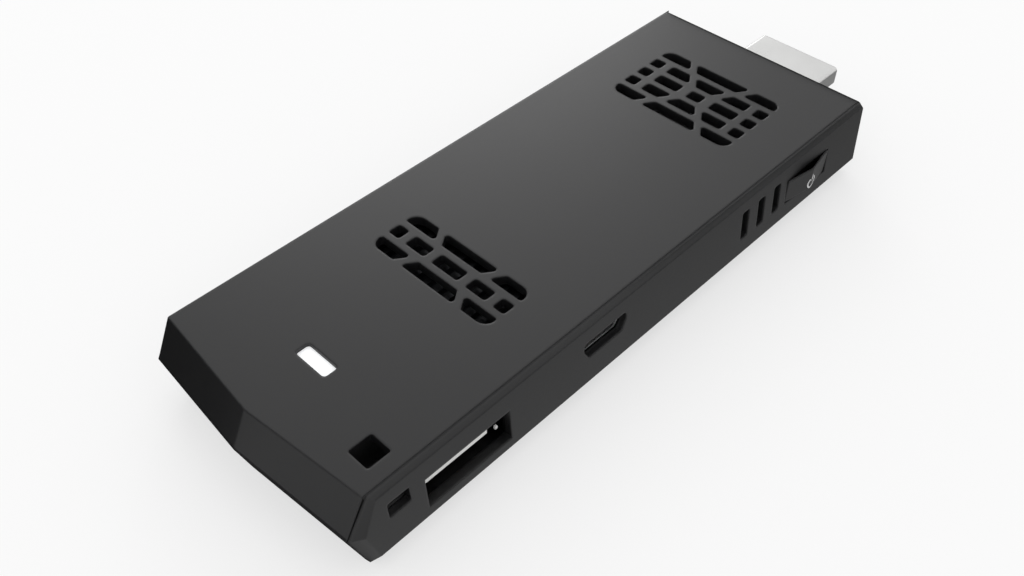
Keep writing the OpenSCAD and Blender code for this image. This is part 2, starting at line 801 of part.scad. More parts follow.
// The outlines swept both ways, so that the rear end comes to a point in plan
module rear_wedge(inset = 0) {
    intersection() {
        turned_sweep(rear_angle) facet_outline(inset);
        turned_sweep(-rear_angle) facet_outline(inset);
        turned_sweep(undercut_angle) undercut_outline(inset);
        turned_sweep(-undercut_angle) undercut_outline(inset);
    }
}

// Section across the stick, from the rear edge moved by a lift to a level
module edge_section(half, level, lift) {
    polygon([
        [-half, level], [-half, edge_z(half) + lift], [0, nose_h + lift],
        [half, edge_z(half) + lift], [half, level]]);
}

// The rim's slope carried down the rear facet
module rear_rim_cut(side) {
    translate([rear_x, 0, nose_h]) rotate([0, 0, -side * rear_angle]) rotate([0, facet_lean, 0])
        translate([0, side * rim_in_y / cos(rear_angle), 0]) rotate([0, 0, -side * rim_angle])
            box([-reach, side > 0 ? 0 : -reach, -reach], [0, side > 0 ? reach : 0, reach]);
}

// The facet that cuts off the lower rear corner, from the end of the rear edge
module corner_cut(side) {
    z = edge_z(cheek_y);
    x = rear_x + cheek_y * rear_v / half_w - facet_slope * (nose_h - z);
    translate([x, side * cheek_y, z]) rotate([-side * corner_lean, 0, side * corner_turn])
        box([-reach, side > 0 ? 0 : -reach, -reach], [reach, side > 0 ? reach : 0, reach]);
}

// The same carried down the plug-end corner
module end_rim_cut(side) {
    translate([plug_face_x, side * rim_in_y, 0]) rotate([0, 0, side * end_angle])
        box([0, side > 0 ? 0 : -reach, -1], [reach, side > 0 ? reach : 0, reach]);
}

// One flat of the rolled top corner of a side wall, its slope between the end's and the rim's
module roll_cut(side, turn) {
    translate([plug_face_x - end_r, side * rim_in_y, body_h - end_r]) rotate([0, -turn, 0])
        translate([end_r, 0, 0]) rotate([0, 0, side * (end_angle + (rim_angle - end_angle) * turn / 90)])
            box([0, side > 0 ? 0 : -reach, -2 * end_r], [reach, side > 0 ? reach : 0, 2 * end_r]);
}

module case_form() {
    difference() {
        intersection() {
            along_x(rear_x, plug_face_x) case_section();
            rear_wedge();
        }
        for (side = [-1, 1]) {
            rear_rim_cut(side);
            corner_cut(side);
            end_rim_cut(side);
            for (i = [1:roll_flats]) roll_cut(side, 90 * (i - 0.5) / roll_flats);
        }
    }
}

// Outline of the plug, shrunk by a sheet thickness or grown by a room
module plug_outline(grow) {
    w = plug_w / 2 + grow;
    low = plug_low_w / 2 + grow;
    top = plug_h / 2 + grow;
    knee = plug_h / 2 - plug_side;
    r = max(plug_r + grow, 0.1);
    translate([plug_y, plug_z])
        polygon(rounded([[-low, -top], [low, -top], [w, knee], [w, top], [-w, top], [-w, knee]], same(r, 6)));
}

// Grilles

// Height of a slanted web's middle at a distance from the grille's middle
function web_y(x, out) = web_cross - tan(web_angle) * (out - abs(x));

// The end slot of a column, above the slanted or flat web; the outermost column has one big corner
function end_slot(x, out) =
    let (
        a = x - slot_w / 2,
        b = x + slot_w / 2
    )
    rounded(
        [[a, web_y(a, out) + web_w / 2], [b, web_y(b, out) + web_w / 2], [b, grille_half], [a, grille_half]],
        [slot_r, slot_r, x > 0 ? grille_r : slot_r, x > 0 ? slot_r : grille_r]);

function inner_slot(x, out) =
    let (
        a = x - slot_w / 2,
        b = x + slot_w / 2
    )
    rounded(
        [[a, web_y(a, out) + web_w / 2], [b, web_y(b, out) + web_w / 2], [b, square_web[0]], [a, square_web[0]]],
        same(slot_r, 4));

function middle_slot(x, out) =
    let (
        a = x - slot_w / 2,
        b = x + slot_w / 2,
        ya = web_y(a, out) - web_w / 2,
        yb = web_y(b, out) - web_w / 2
    )
    rounded([[a, -ya], [b, -yb], [b, yb], [a, ya]], same(slot_r, 4));

function flat_slot(x, y0, y1) =
    rounded(
        [[x - slot_w / 2, y0], [x + slot_w / 2, y0], [x + slot_w / 2, y1], [x - slot_w / 2, y1]],
        same(slot_r, 4));

// The slots of one grille, in plan
module grille(cols, mid) {
    last = (cols - 1) / 2;
    out = last * slot_pitch;
    for (i = [-last:last]) {
        x = i * slot_pitch;
        if (i == 0) polygon(flat_slot(0, -mid[0], mid[0]));
        if (i != 0) polygon(middle_slot(x, out));
        for (side = [0, 1]) mirror([0, side]) {
            if (abs(i) == last) polygon(end_slot(x, out));
            if (abs(i) < last) polygon(flat_slot(x, square_web[1], grille_half));
            if (i == 0) polygon(flat_slot(0, mid[1], square_web[0]));
            if (i != 0 && abs(i) < last) polygon(inner_slot(x, out));
        }
    }
}

// Covers

// Side outline of the cover, rolled at the plug end
module cover_outline() {
    translate([rear_x - 1, edge_z(half_w)])
        square([plug_face_x - end_r - rear_x + 1, body_h - edge_z(half_w)]);
    translate([cavity_end_x - 1, plug_z + seam / 2])
        square([end_wall + 1, body_h - end_r - plug_z - seam / 2]);
    translate([plug_face_x - end_r, body_h - end_r]) circle(end_r);
}

module cover_hollow() {
    intersection() {
        union() {
            box([rear_x, -cover_y + skirt_t, 0], [cavity_end_x, cover_y - skirt_t, lid_z]);
            box([rear_x, -half_w, 0], [cavity_end_x, half_w, skirt_z]);
        }
        rear_wedge(facet_wall);
    }
}

// Places of the snap ridges along the stick
snap_places = [for (i = [0:snap_count - 1]) rx(snap_end + i * (body_len - 2 * snap_end) / (snap_count - 1))];

module snap_ridges(room) {
    z = (skirt_z + lid_z) / 2;
    for (x = snap_places, side = [-1, 1])
        translate([x, 0, z]) along_x(-snap_len / 2 - room, snap_len / 2 + room)
            polygon([
                [side * (cover_y - skirt_t / 2), -snap_h / 2 - room], [side * cover_y, -snap_h / 2 - room],
                [side * (cover_y + snap_out + room), 0], [side * cover_y, snap_h / 2 + room],
                [side * (cover_y - skirt_t / 2), snap_h / 2 + room]]);
}

lanyard_x = rx(lanyard_at);
lanyard_low = body_h - lanyard_side_drop - lanyard_side[1];
lanyard_side_x = lanyard_x - lanyard_side_back;
lanyard_rear = lanyard_side_x - lanyard_side[0] / 2;
lanyard_front = lanyard_x + lanyard_hole / 2 + lanyard_room;
lanyard_out = lanyard_bar - cover_y;
lanyard_in = lanyard_out + lanyard_hole;

module lanyard_pocket_wall() {
    box([lanyard_rear - lanyard_wall, -cover_y, board_top + lanyard_gap],
        [lanyard_front + lanyard_wall, lanyard_in + lanyard_wall, lid_z]);
}

module lanyard_space() {
    box([lanyard_rear, -half_w, lanyard_low], [lanyard_front, lanyard_in, lid_z]);
    translate([lanyard_x, (lanyard_out + lanyard_in) / 2, 0]) up(lanyard_low + seam, body_h + 1)
        rounded_rect(lanyard_hole, lanyard_hole, lanyard_r);
}

module top_cover() {
    color(case_black) difference() {
        union() {
            difference() {
                intersection() {
                    along_y(-cover_y, cover_y) cover_outline();
                    rear_wedge();
                }
                cover_hollow();
                along_x(rear_x - 1, cavity_x) edge_section(half_w, 0, seam / 2);
            }
            snap_ridges(0);
            lanyard_pocket_wall();
        }
        lanyard_space();
        translate([fan_x, 0, 0]) up(lid_z - 1, body_h + 1) grille(fan_grille_cols, fan_mid_slot);
        translate([rx(rear_grille_at), 0, 0]) up(lid_z - 1, body_h + 1)
            grille(rear_grille_cols, rear_mid_slot);
        translate([rx(led_at), 0, 0]) up(lid_z - 1, body_h + 1) rounded_rect(led_size[0], led_size[1], led_r);
        along_x(cavity_end_x - 1, plug_face_x + 1) plug_outline(plug_room);
    }
}

// Inside of the bottom cover and the room that the top cover takes
module bottom_hollow() {
    along_x(cavity_x, cavity_end_x)
        polygon([
            [-cheek_y, body_h + 1], [-cheek_y, bevel_top_z], [-floor_y, floor_t],
            [floor_y, floor_t], [cheek_y, bevel_top_z], [cheek_y, body_h + 1]]);
    along_x(rear_x - 1, cavity_x + 1) edge_section(cheek_y, body_h + 1, -seam / 2);
    box([cavity_end_x - 1, -cheek_y, plug_z - seam / 2], [plug_face_x + 1, cheek_y, body_h + 1]);
}

// Openings in the port-side wall
module port_cuts() {
    wall = [-half_w - 1, -cheek_y + skin];
    translate([usb_x, 0, usb_z]) along_y(wall[0], wall[1]) square(usb_opening, center = true);
    along_y(wall[0], wall[1]) translate([micro_x, board_top]) micro_outline(micro_room);
    for (i = [0:vent_count - 1])
        translate([fx(vent_at + i * vent_pitch), 0, vent_z]) along_y(wall[0], wall[1])
            rounded_rect(vent_size[0], vent_size[1], vent_r);
    translate([button_x, 0, button_z]) along_y(wall[0], wall[1]) square(button_opening, center = true);
    translate([lanyard_side_x, 0, lanyard_low + lanyard_side[1] / 2]) along_y(wall[0], wall[1])
        rounded_rect(lanyard_side[0], lanyard_side[1], lanyard_r);
}

module bottom_cover() {
    color(case_black) difference() {
        union() {
            difference() {
                case_form();
                bottom_hollow();
            }
            for (p = post_points) translate([p[0], p[1], floor_t - skin])
                cylinder(h = board_z - floor_t + skin, d = post_d);
        }
        port_cuts();
        snap_ridges(snap_room);
        translate([card_x, 0, card_low + card_h / 2 - card_slot_drop]) along_y(cheek_y - skin, half_w + 1)
            rounded_rect(card_slot[0], card_slot[1], card_slot_r);
        along_x(cavity_end_x - 1, plug_face_x + 1) plug_outline(plug_room);
        for (p = post_points) translate([p[0], p[1], board_z - screw_bite - screw_end_room])
            cylinder(h = screw_bite + 1, d = screw_d + 2 * screw_room);
    }
}

module light_pipe() {
    lens = [led_size[0] - 2 * led_room, led_size[1] - 2 * led_room];
    color("white") translate([rx(led_at), 0, 0]) {
        up(lid_z - led_flange_t, body_h - led_recess) rounded_rect(lens[0], lens[1], led_r - led_room);
        up(lid_z - led_flange_t, lid_z)
            rounded_rect(led_size[0] + 2 * led_flange, led_size[1] + 2 * led_flange, led_r);
        up(board_top + status_led_size[2] + led_gap, lid_z - led_flange_t) square(led_stem, center = true);
    }
}

// Plan of the roof: flush with the wall at both ends, standing out at the ridge
module button_roof(inset) {
    w = button_size[0] / 2 - 3 * inset;
    front = inset - wall_y_at_button;
    back = button_root - wall_y_at_button;
    polygon([[-w, front], [button_ridge_at, front - button_ridge], [w, front], [w, back], [-w, back]]);
}

switch_mid = board_top + switch_size[1] / 2;

module power_button() {
    w = button_size[0] / 2;
    h = button_size[1] / 2;
    wide = w + button_room + button_flange;
    stem_z = switch_mid - button_z;
    color(case_black) translate([button_x, 0, button_z]) difference() {
        union() {
            up(-h, h) button_roof(0);
            box([-w, button_root - wall_y_at_button - skin, -h], [w, -flange_front, h]);
            box([-wide, -flange_front - skin, -h - button_flange], [wide, -flange_back, h + button_flange]);
            box([-button_stem[1] / 2, -flange_back - skin, stem_z - button_stem[2] / 2],
                [button_stem[1] / 2, -stem_y, stem_z + button_stem[2] / 2]);
        }
        up(h - button_pocket, h + 1) button_roof(button_skin);
    }
}

// The plunger's section, with its running room when it is the guide
module plunger_section(room) {
    translate([button_x, switch_mid])
        square([switch_plunger_size[0] + 2 * room, switch_plunger_size[1] + 2 * room], center = true);
}

module switch_body() {
    color(part_black) difference() {
        translate([button_x - switch_size[0] / 2, -switch_y, board_top])
            cube([switch_size[0], switch_depth, switch_size[1]]);
        along_y(-switch_y - 1, -switch_y + switch_guide) plunger_section(switch_room);
    }
}

module switch_plunger() {
    color("ivory")
        along_y(-plunger_y, -switch_y + switch_guide - button_travel - switch_back_room) plunger_section(0);
}

// HDMI plug

module hdmi_shell() {
    color(metal) difference() {
        along_x(fx(plug_tail), plug_face_x + plug_len) plug_outline(0);
        along_x(fx(plug_tail) - 1, plug_face_x + plug_len + 1) plug_outline(-plug_t);
    }
}

plug_slot_h = board_t + 2 * contact_t;

module hdmi_insulator() {
    color(part_black) difference() {
        along_x(fx(plug_tail), plug_face_x + plug_len - insulator_back)
            plug_outline(-plug_t - insulator_room);
        box([fx(plug_tail) - 1, plug_y - plug_slot_w / 2, plug_z - plug_slot_h / 2],
            [plug_face_x + plug_len, plug_y + plug_slot_w / 2, plug_z + plug_slot_h / 2]);
    }
}

module plug_row(count, z) {
    for (i = [0:count - 1])
        translate([0, plug_y + (i - (count - 1) / 2) * plug_pitch, 0])
            box([fx(plug_tail + plug_contact_tail), -plug_contact_w / 2, z],
                [plug_face_x + plug_len - insulator_back - plug_contact_back,
                plug_contact_w / 2, z + contact_t]);
}

module hdmi_contacts() {
    color(contact_gold) {
        plug_row(10, board_top);
        plug_row(9, board_z - contact_t);
    }
}

// USB socket

module usb_shell() {
    color(metal) translate([usb_x, 0, usb_z]) difference() {
        along_y(usb_front, usb_back) square([usb_shell_w, usb_shell_h], center = true);
        along_y(usb_front - 1, usb_back - usb_t) square(usb_inner, center = true);
        for (side = [-1, 1], level = [-1, 1])
            translate([side * usb_inner[0] / 4, usb_front + usb_window[2], level * usb_inner[1] / 2])
                cube([usb_window[0], usb_window[1], 2], center = true);
    }
}

module usb_tongue() {
    inner_back = usb_back - usb_t;
    color("whitesmoke") {
        translate([usb_x, 0, usb_z]) along_y(inner_back - usb_block, inner_back)
            square(usb_inner, center = true);
        box([usb_x - usb_tongue_size[0] / 2, usb_front + usb_tongue_back,
            usb_tongue_top - usb_tongue_size[1]],
            [usb_x + usb_tongue_size[0] / 2, inner_back - usb_block + skin, usb_tongue_top]);
    }
}

module usb_contacts() {
    z = usb_tongue_top - usb_tongue_size[1];
    color(contact_gold) for (x = usb_contact_x)
        translate([usb_x + x, 0, 0])
            box([-usb_contact[0] / 2, usb_front + usb_tongue_back + usb_contact[1], z - contact_t],
                [usb_contact[0] / 2, usb_back - usb_t - usb_block, z]);
}

// Micro-USB socket: wide side up, standing on the board

module micro_outline(grow) {
    w = micro_shell[0] / 2 + grow;
    low = micro_shell[1] / 2 + grow;
    top = micro_h + grow;
    r = max(micro_r + grow, 0.1);
    polygon(rounded(
        [[-low, -grow], [low, -grow], [w, micro_knee], [w, top], [-w, top], [-w, micro_knee]],
        same(r, 6)));
}

module micro_usb_shell() {
    color(metal) difference() {
        along_y(micro_front, micro_back) translate([micro_x, board_top]) micro_outline(0);
        along_y(micro_front - 1, micro_back - micro_t) translate([micro_x, board_top]) micro_outline(-micro_t);
    }
}

micro_tongue_low = board_top + micro_tongue_z - micro_tongue[1] / 2;

module micro_usb_tongue() {
    back = micro_back - micro_t;
    color(part_black) {
        box([micro_x - micro_tongue[0] / 2, micro_front + micro_tongue_back, micro_tongue_low],
            [micro_x + micro_tongue[0] / 2, back, micro_tongue_low + micro_tongue[1]]);
        box([micro_x - micro_block[0] / 2, back - micro_block[1], board_top + micro_t + 2 * skin],
            [micro_x + micro_block[0] / 2, back, board_top + micro_h - micro_t - 2 * skin]);
    }
}

module micro_usb_contacts() {
    w = micro_contact[1] / 2;
    color(contact_gold) for (i = [-2:2])
        translate([micro_x + i * micro_contact[0], 0, 0])
            box([-w, micro_front + 2 * micro_tongue_back, micro_tongue_low - contact_t],
                [w, micro_back - micro_t - micro_block[1], micro_tongue_low]);
}

// Card socket under the board, open to the far side

module card_socket_shell() {
    w = card_size[0] / 2;
    color(metal) difference() {
        box([card_x - w - card_t, card_back, card_low - card_t], [card_x + w + card_t, card_front, board_z]);
        box([card_x - w, card_back - 1, card_low], [card_x + w, card_front + 1, board_z + 1]);
    }
}

module card_socket_base() {
    w = card_size[0] / 2;
    inner = card_back + card_back_wall;
    color(part_black) {
        box([card_x - w, card_back, card_top], [card_x + w, card_front, board_z]);
        box([card_x - w, card_back, card_low], [card_x + w, inner, card_top + skin]);
        box([card_x - w, inner - skin, card_low], [card_x - w + card_rail, card_front, card_top + skin]);
        box([card_x + w - card_thin_rail, inner - skin, card_low], [card_x + w, card_front, card_top + skin]);
    }
}

module card_socket_contacts() {
    inner = card_back + card_back_wall;
    color(contact_gold) for (i = [0:card_contact_count - 1])
        translate([card_x + (i - (card_contact_count - 1) / 2) * card_contact[0], 0, 0])
            box([-card_contact[1] / 2, inner, card_top - contact_t],
                [card_contact[1] / 2, inner + card_contact[2], card_top]);
}

module card_slider() {
    outer = card_x + card_size[0] / 2 - card_thin_rail - card_room;
    inner = outer - card_slider_size[0];
    rear = card_back + card_back_wall + card_travel + card_end_room;
    low = card_low + card_room;
    top = card_top - contact_t - card_room;
    color("ivory") {
        box([inner, rear, low], [outer, rear + card_slider_size[1], top]);
        box([inner - card_finger[0], rear, low], [inner + skin, rear + card_finger[1], top]);
    }
}

// Board and what stands on it

module main_board() {
    color(board_green) up(board_z, board_top) difference() {
        union() {
            difference() {
                translate([board_rear, -board_y]) square([board_front - board_rear, 2 * board_y]);
                translate([fx(plug_tail + plug_board_gap), plug_y - plug_w / 2 - plug_notch_room])
                    square([reach, plug_w + 2 * plug_notch_room]);
            }
            translate([fx(plug_tail + 2 * plug_board_gap), plug_y - plug_slot_w / 2 + plug_tab_room])
                square([2 * plug_board_gap + plug_tab, plug_slot_w - 2 * plug_tab_room]);
        }
        translate([fan_x, 0]) circle(fan_r + fan_room);
        translate([usb_x - usb_shell_w / 2 - board_cut_room, -reach])
            square([usb_shell_w + 2 * board_cut_room, reach + usb_back + board_cut_room]);
        translate([button_x - button_opening[0] / 2 - board_notch_room, -board_y - 1])
            square([button_opening[0] + 2 * board_notch_room, board_notch + 1]);
        for (p = post_points) translate(p) circle(d = screw_d + 2 * screw_room);
        for (p = leg_points) translate(p) circle(d = small_screw_d + 2 * screw_room);
        for (p = ear_points) translate(p) circle(d = small_screw_d + 2 * screw_room);
    }
}

ear_points = [for (a = ears) [fan_x + ear_hole_r * cos(a), ear_hole_r * sin(a)]];

module processor() {
    body_t = processor_size[2] - die_size[2];
    color("#2a2f33") {
        chip(processor_place, [processor_size[0], processor_size[1], body_t]);
        chip(processor_place, die_size + [0, 0, skin], 1, body_t - skin);
    }
}

module thermal_pad() {
    color("lightsteelblue")
        chip(processor_place, [pad_size[0], pad_size[1], pad_t], 1, processor_size[2]);
}

module memory_chips() {
    color(part_black) for (y = [-1, 1], side = [-1, 1])
        chip([fx(memory_at[0]), y * memory_at[1]], memory_size, side);
}

module storage_chip() {
    color(part_black) chip([fx(storage_at[0]), storage_at[1]], storage_size, -1);
}

module power_chip() {
    color(part_black) chip([power_x, -power_chip_y], power_chip_size);
}

module inductors() {
    color("#4a4a4c") for (i = [-0.5, 0.5], j = [0, 1])
        chip([power_x + i * inductor_pitch[0], inductor_y + j * inductor_pitch[1]], inductor_size);
}

module capacitors() {
    color("tan") for (i = [0:capacitor_count - 1])
        chip([capacitor_x, processor_place[1] + (i - (capacitor_count - 1) / 2) * capacitor_pitch],
            capacitor_size);
}

module clock_crystal() {
    color(metal) chip([processor_place[0] - crystal_at[0], crystal_at[1]], crystal_size, -1);
}

module status_led() {
    color("lightyellow") chip([rx(led_at), 0], status_led_size);
}

// Radio

module radio_module() {
    color("#20406a") {
        translate([rx(radio_at[0]) - radio_size[0], radio_at[1], board_top]) cube(radio_size);
        for (x = radio_sockets) translate([x, radio_socket_y, board_top + radio_size[2] - skin])
            cylinder(h = radio_socket[1] + skin, d = radio_socket[0]);
    }
}

module radio_shield() {
    low = [
        rx(radio_at[0]) - radio_size[0] + can_inset[0], radio_at[1] + can_inset[0], board_top + radio_size[2]];
    high = [rx(radio_at[0]) - can_inset[0], radio_at[1] + radio_size[1] - can_inset[1], low[2] + can_h];
    color(metal) difference() {
        box(low, high);
        box(low + [can_t, can_t, -1], high - [can_t, can_t, can_t]);
    }
}

module main_antenna() {
    x = rx(main_film[2]);
    y = antenna_edge - main_film[3];
    color("#b07a3c") box([x, y - main_film[1], lid_z - antenna_t], [x + main_film[0], y, lid_z]);
}

module second_antenna() {
    x = micro_x + second_film[2];
    color("#b07a3c")
        box([x, -antenna_edge, lid_z - antenna_t], [x + second_film[0], second_film[1] - antenna_edge, lid_z]);
}

// A round lead swept along its points
module lead(path, d) {
    n = len(path);
    sides = 8;
    rings = [for (i = [0:n - 1])
        let (
            t = unit(path[min(i + 1, n - 1)] - path[max(i - 1, 0)]),
            u = unit(cross(t, abs(t[2]) < 0.9 ? [0, 0, 1] : [1, 0, 0])),
            v = cross(u, t)
        )
        [for (k = [0:sides - 1]) path[i] + d / 2 * (cos(360 * k / sides) * u + sin(360 * k / sides) * v)]];
    points = [for (ring = rings) each ring];
    walls = [for (i = [0:n - 2], k = [0:sides - 1])
        each [
            [i * sides + k, i * sides + (k + 1) % sides, (i + 1) * sides + k],
            [i * sides + (k + 1) % sides, (i + 1) * sides + (k + 1) % sides, (i + 1) * sides + k]]];
    low_end = [for (k = [1:sides - 2]) [0, k + 1, k]];
    top_end = [for (k = [1:sides - 2]) [(n - 1) * sides, (n - 1) * sides + k, (n - 1) * sides + k + 1]];
    polyhedron(points, concat(walls, low_end, top_end), convexity = 6);
}

// The short lead climbs to the main antenna; the long one goes round the USB socket to the second
module antenna_leads() {
    y = radio_socket_y;
    back = radio_sockets[0];
    front = radio_sockets[1];
    half_socket = radio_socket[0] / 2;
    side = usb_x + usb_shell_w / 2 + lead_side_gap;
    pass_y = micro_back + lead_micro_gap;
    goal = [micro_x + second_film[2] + 2 * half_socket, second_film[1] / 2 - antenna_edge, lead_end_z];
    climb = lead_end_z - lead_z;
    run = main_film[0] / 3;
    color("dimgray") {
        lead([
            [back + half_socket, y, lead_z], [back - half_socket, y, lead_z],
            [back - run * 0.5, y, lead_z + climb * 0.25], [back - run, y, lead_z + climb * 0.8],
            [back - run * 1.3, y, lead_end_z]], lead_d);
        lead([
            [front - half_socket, y, lead_z], [front + half_socket, y, lead_z], [side - lead_d, y * 0.88, lead_z],
            [side, y * 0.68, lead_z], [side, 0, lead_z], [side, pass_y * 0.7, lead_z],
            [side + lead_d, pass_y * 0.92, lead_z], [side + 4 * lead_d, pass_y, lead_z],
            [micro_x - 2 * lead_d, pass_y, lead_z + climb * 0.3],
            [micro_x + 2 * lead_d, (pass_y + goal[1]) / 2, lead_end_z - lead_d / 4],
            goal - [2 * lead_d, 0, 0], goal], lead_d);
    }
}

// Heat spreader

module heat_spreader() {
    color("#b9bcc0") difference() {
        union() {
            box([plate_rear, plate_y[0], plate_z], [plate_front, plate_y[1], plate_top]);
            for (i = [0:fin_count - 1])
                translate([rx(rear_grille_at), plate_y[0] + fin_edge + i * fin_pitch, 0])
                    box([-fin_len / 2, -fin_t / 2, plate_top - skin],
                        [fin_len / 2, fin_t / 2, lid_z - fin_headroom]);
            for (p = leg_points) translate([p[0], p[1], board_top])
                cylinder(h = plate_z - board_top + skin, d = leg_d);
        }
        for (p = leg_points) translate([p[0], p[1], 0])
            cylinder(h = reach, d = small_screw_d + 2 * screw_room);
    }
}

// A screw with its head's seat at z
module screw(place, z, d, length, head_d, head_h) {
    translate([place[0], place[1], z]) {
        cylinder(h = head_h, d = head_d);
        translate([0, 0, -length]) cylinder(h = length + skin, d = d);
    }
}

module spreader_screws() {
    color(metal) for (p = leg_points)
        screw(p, plate_top, small_screw_d, plate_top - board_z, small_head_d, small_head_h);
}

module board_screws() {
    color(metal) for (p = post_points)
        screw(p, board_top, screw_d, board_t + screw_bite, screw_head_d, screw_head_h);
}

module fan_screws() {
    color(metal) for (p = ear_points)
        screw(p, board_top + ear_t, small_screw_d, ear_t + board_t, small_head_d, small_head_h);
}

// Fan

boss_d = bearing_d + 2 * boss_wall;
bearing_top = rotor_top - bearing_drop;
hub_inner_d = hub_d - 2 * hub_t;
hub_top = rotor_top - hub_drop;

module fan_housing() {
    color(part_black) translate([fan_x, 0, 0]) difference() {
        union() {
            translate([0, 0, fan_floor_z]) cylinder(h = fan_top - fan_floor_z, r = fan_r);
            for (a = ears) rotate([0, 0, a])
                box([fan_r - fan_wall, -ear_w / 2, board_top],
                    [fan_r + ear_reach, ear_w / 2, board_top + ear_t]);
        }
        difference() {
            translate([0, 0, fan_inner_z]) cylinder(h = reach, r = fan_r - fan_wall);
            translate([0, 0, fan_floor_z]) cylinder(h = bearing_top - fan_floor_z, d = boss_d);
        }
        translate([0, 0, fan_inner_z]) cylinder(h = reach, d = bearing_d + 2 * press_room);
        up(board_top + outlet_edge[0], fan_top - outlet_edge[1]) outlet_sector(fan_r);
        for (a = ears) rotate([0, 0, a]) translate([ear_hole_r, 0, 0])
            cylinder(h = reach, d = small_screw_d + 2 * screw_room);
    }
}

// A wedge in plan that opens the housing's wall
module outlet_sector(r) {
    steps = [-1, -0.5, 0, 0.5, 1];
    function ray(a) = [cos(outlet[0] + a * outlet[1]), sin(outlet[0] + a * outlet[1])];
    polygon([for (a = steps) 1.2 * r * ray(a), for (a = steps) 0.8 * r * ray(-a)]);
}

module fan_lid() {
    color(part_black) translate([fan_x, 0, fan_top]) difference() {
        cylinder(h = fan_lid_t, r = fan_r);
        translate([0, 0, -1]) cylinder(h = 3, d = fan_inlet_d);
    }
}

module fan_bearing() {
    color("#8c6a3a") translate([fan_x, 0, fan_inner_z]) difference() {
        cylinder(h = bearing_top - fan_inner_z, d = bearing_d);
        translate([0, 0, bearing_floor[0]]) cylinder(h = reach, d = shaft_d + 2 * shaft_room);
    }
}

stator_d = hub_inner_d - 2 * magnet_t - 2 * magnet_gap;

module fan_stator() {
    h = stator_size[0];
    color("#b5652b") translate([fan_x, 0, fan_inner_z + stator_size[1]]) difference() {
        union() {
            cylinder(h = h, d = boss_d + 2 * stator_core);
            for (i = [0:pole_count - 1]) rotate([0, 0, 360 * i / pole_count])
                box([0, -pole_size[0] / 2, pole_inset],
                    [(stator_d - pole_size[2]) / 2, pole_size[0] / 2, h - pole_inset]);
            intersection() {
                difference() {
                    cylinder(h = h, d = stator_d);
                    translate([0, 0, -1]) cylinder(h = reach, d = stator_d - 2 * pole_size[2]);
                }
                for (i = [0:pole_count - 1]) rotate([0, 0, 360 * i / pole_count])
                    box([0, -pole_size[1] / 2, 0], [stator_d, pole_size[1] / 2, h]);
            }
        }
        translate([0, 0, -1]) cylinder(h = reach, d = boss_d + 2 * press_room);
    }
}

module fan_shaft() {
    low = fan_inner_z + bearing_floor[0] + bearing_floor[1];
    color(metal) translate([fan_x, 0, low]) cylinder(h = hub_top - low, d = shaft_d);
}

module fan_magnet() {
    color("#3a3a3e") translate([fan_x, 0, rotor_low + magnet_size[1]]) difference() {
        cylinder(h = magnet_size[0], d = hub_inner_d - 2 * press_room);
        translate([0, 0, -1]) cylinder(h = reach, d = hub_inner_d - 2 * magnet_t);
    }
}

// One blade in plan: an arc from the hub to the rim
module blade() {
    intersection() {
        difference() {
            circle(d = blade_d);
            circle(d = hub_d - 2 * blade_root);
        }
        translate([hub_d / 2 - blade_start, -blade_curve]) difference() {
            circle(r = blade_curve);
            circle(r = blade_curve - blade_t);
        }
        translate([0, -blade_d]) square([blade_d, 2 * blade_d]);
    }
}

module fan_rotor() {
    color(part_black) translate([fan_x, 0, 0]) difference() {
        union() {
            translate([0, 0, rotor_low]) cylinder(h = hub_top - rotor_low, d = hub_d);
            for (i = [0:blade_count - 1]) rotate([0, 0, 360 * i / blade_count])
                up(rotor_low + blade_inset, rotor_top - blade_inset) blade();
        }
        translate([0, 0, rotor_low - 1]) cylinder(h = hub_top - hub_plate - rotor_low + 1, d = hub_inner_d);
        cylinder(h = reach, d = shaft_d + 2 * press_room);
    }
}

// The lead leaves the housing and turns into the connector's face
module fan_lead() {
    z = board_top + fan_lead_z;
    r = fan_r + fan_lead_d / 8;
    out = [cos(fan_lead_angle), sin(fan_lead_angle), 0];
    start = [fan_x, 0, z] + r * out;
    goal = [connector_x, connector_y - lead_gap, z];
    bend = start + 3 * fan_lead_d * out;
    color("firebrick")
        lead([start, start + fan_lead_d * out, bend, (bend + goal) / 2 - [fan_lead_d, 0, 0],
            goal - [0, 2.4 * fan_lead_d, 0], goal - [0, fan_lead_d, 0], goal], fan_lead_d);
}

module fan_connector() {
    color("ivory") translate([connector_x - connector_size[0] / 2, connector_y, board_top])
        cube(connector_size);
}

top_cover();
bottom_cover();
light_pipe();
power_button();
hdmi_shell();
hdmi_insulator();
hdmi_contacts();
usb_shell();
usb_tongue();
usb_contacts();
micro_usb_shell();
micro_usb_tongue();
micro_usb_contacts();
card_socket_shell();
card_socket_base();
card_socket_contacts();
card_slider();
main_board();
processor();
memory_chips();
storage_chip();
power_chip();
inductors();
capacitors();
clock_crystal();
status_led();
switch_body();
switch_plunger();
radio_module();
radio_shield();
main_antenna();
second_antenna();
antenna_leads();
thermal_pad();
heat_spreader();
spreader_screws();
fan_housing();
fan_lid();
fan_stator();
fan_bearing();
fan_shaft();
fan_magnet();
fan_rotor();
fan_screws();
fan_lead();
fan_connector();
board_screws();
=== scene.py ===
import math

import bmesh
import bpy
from mathutils import Matrix, Vector
from mathutils.bvhtree import BVHTree


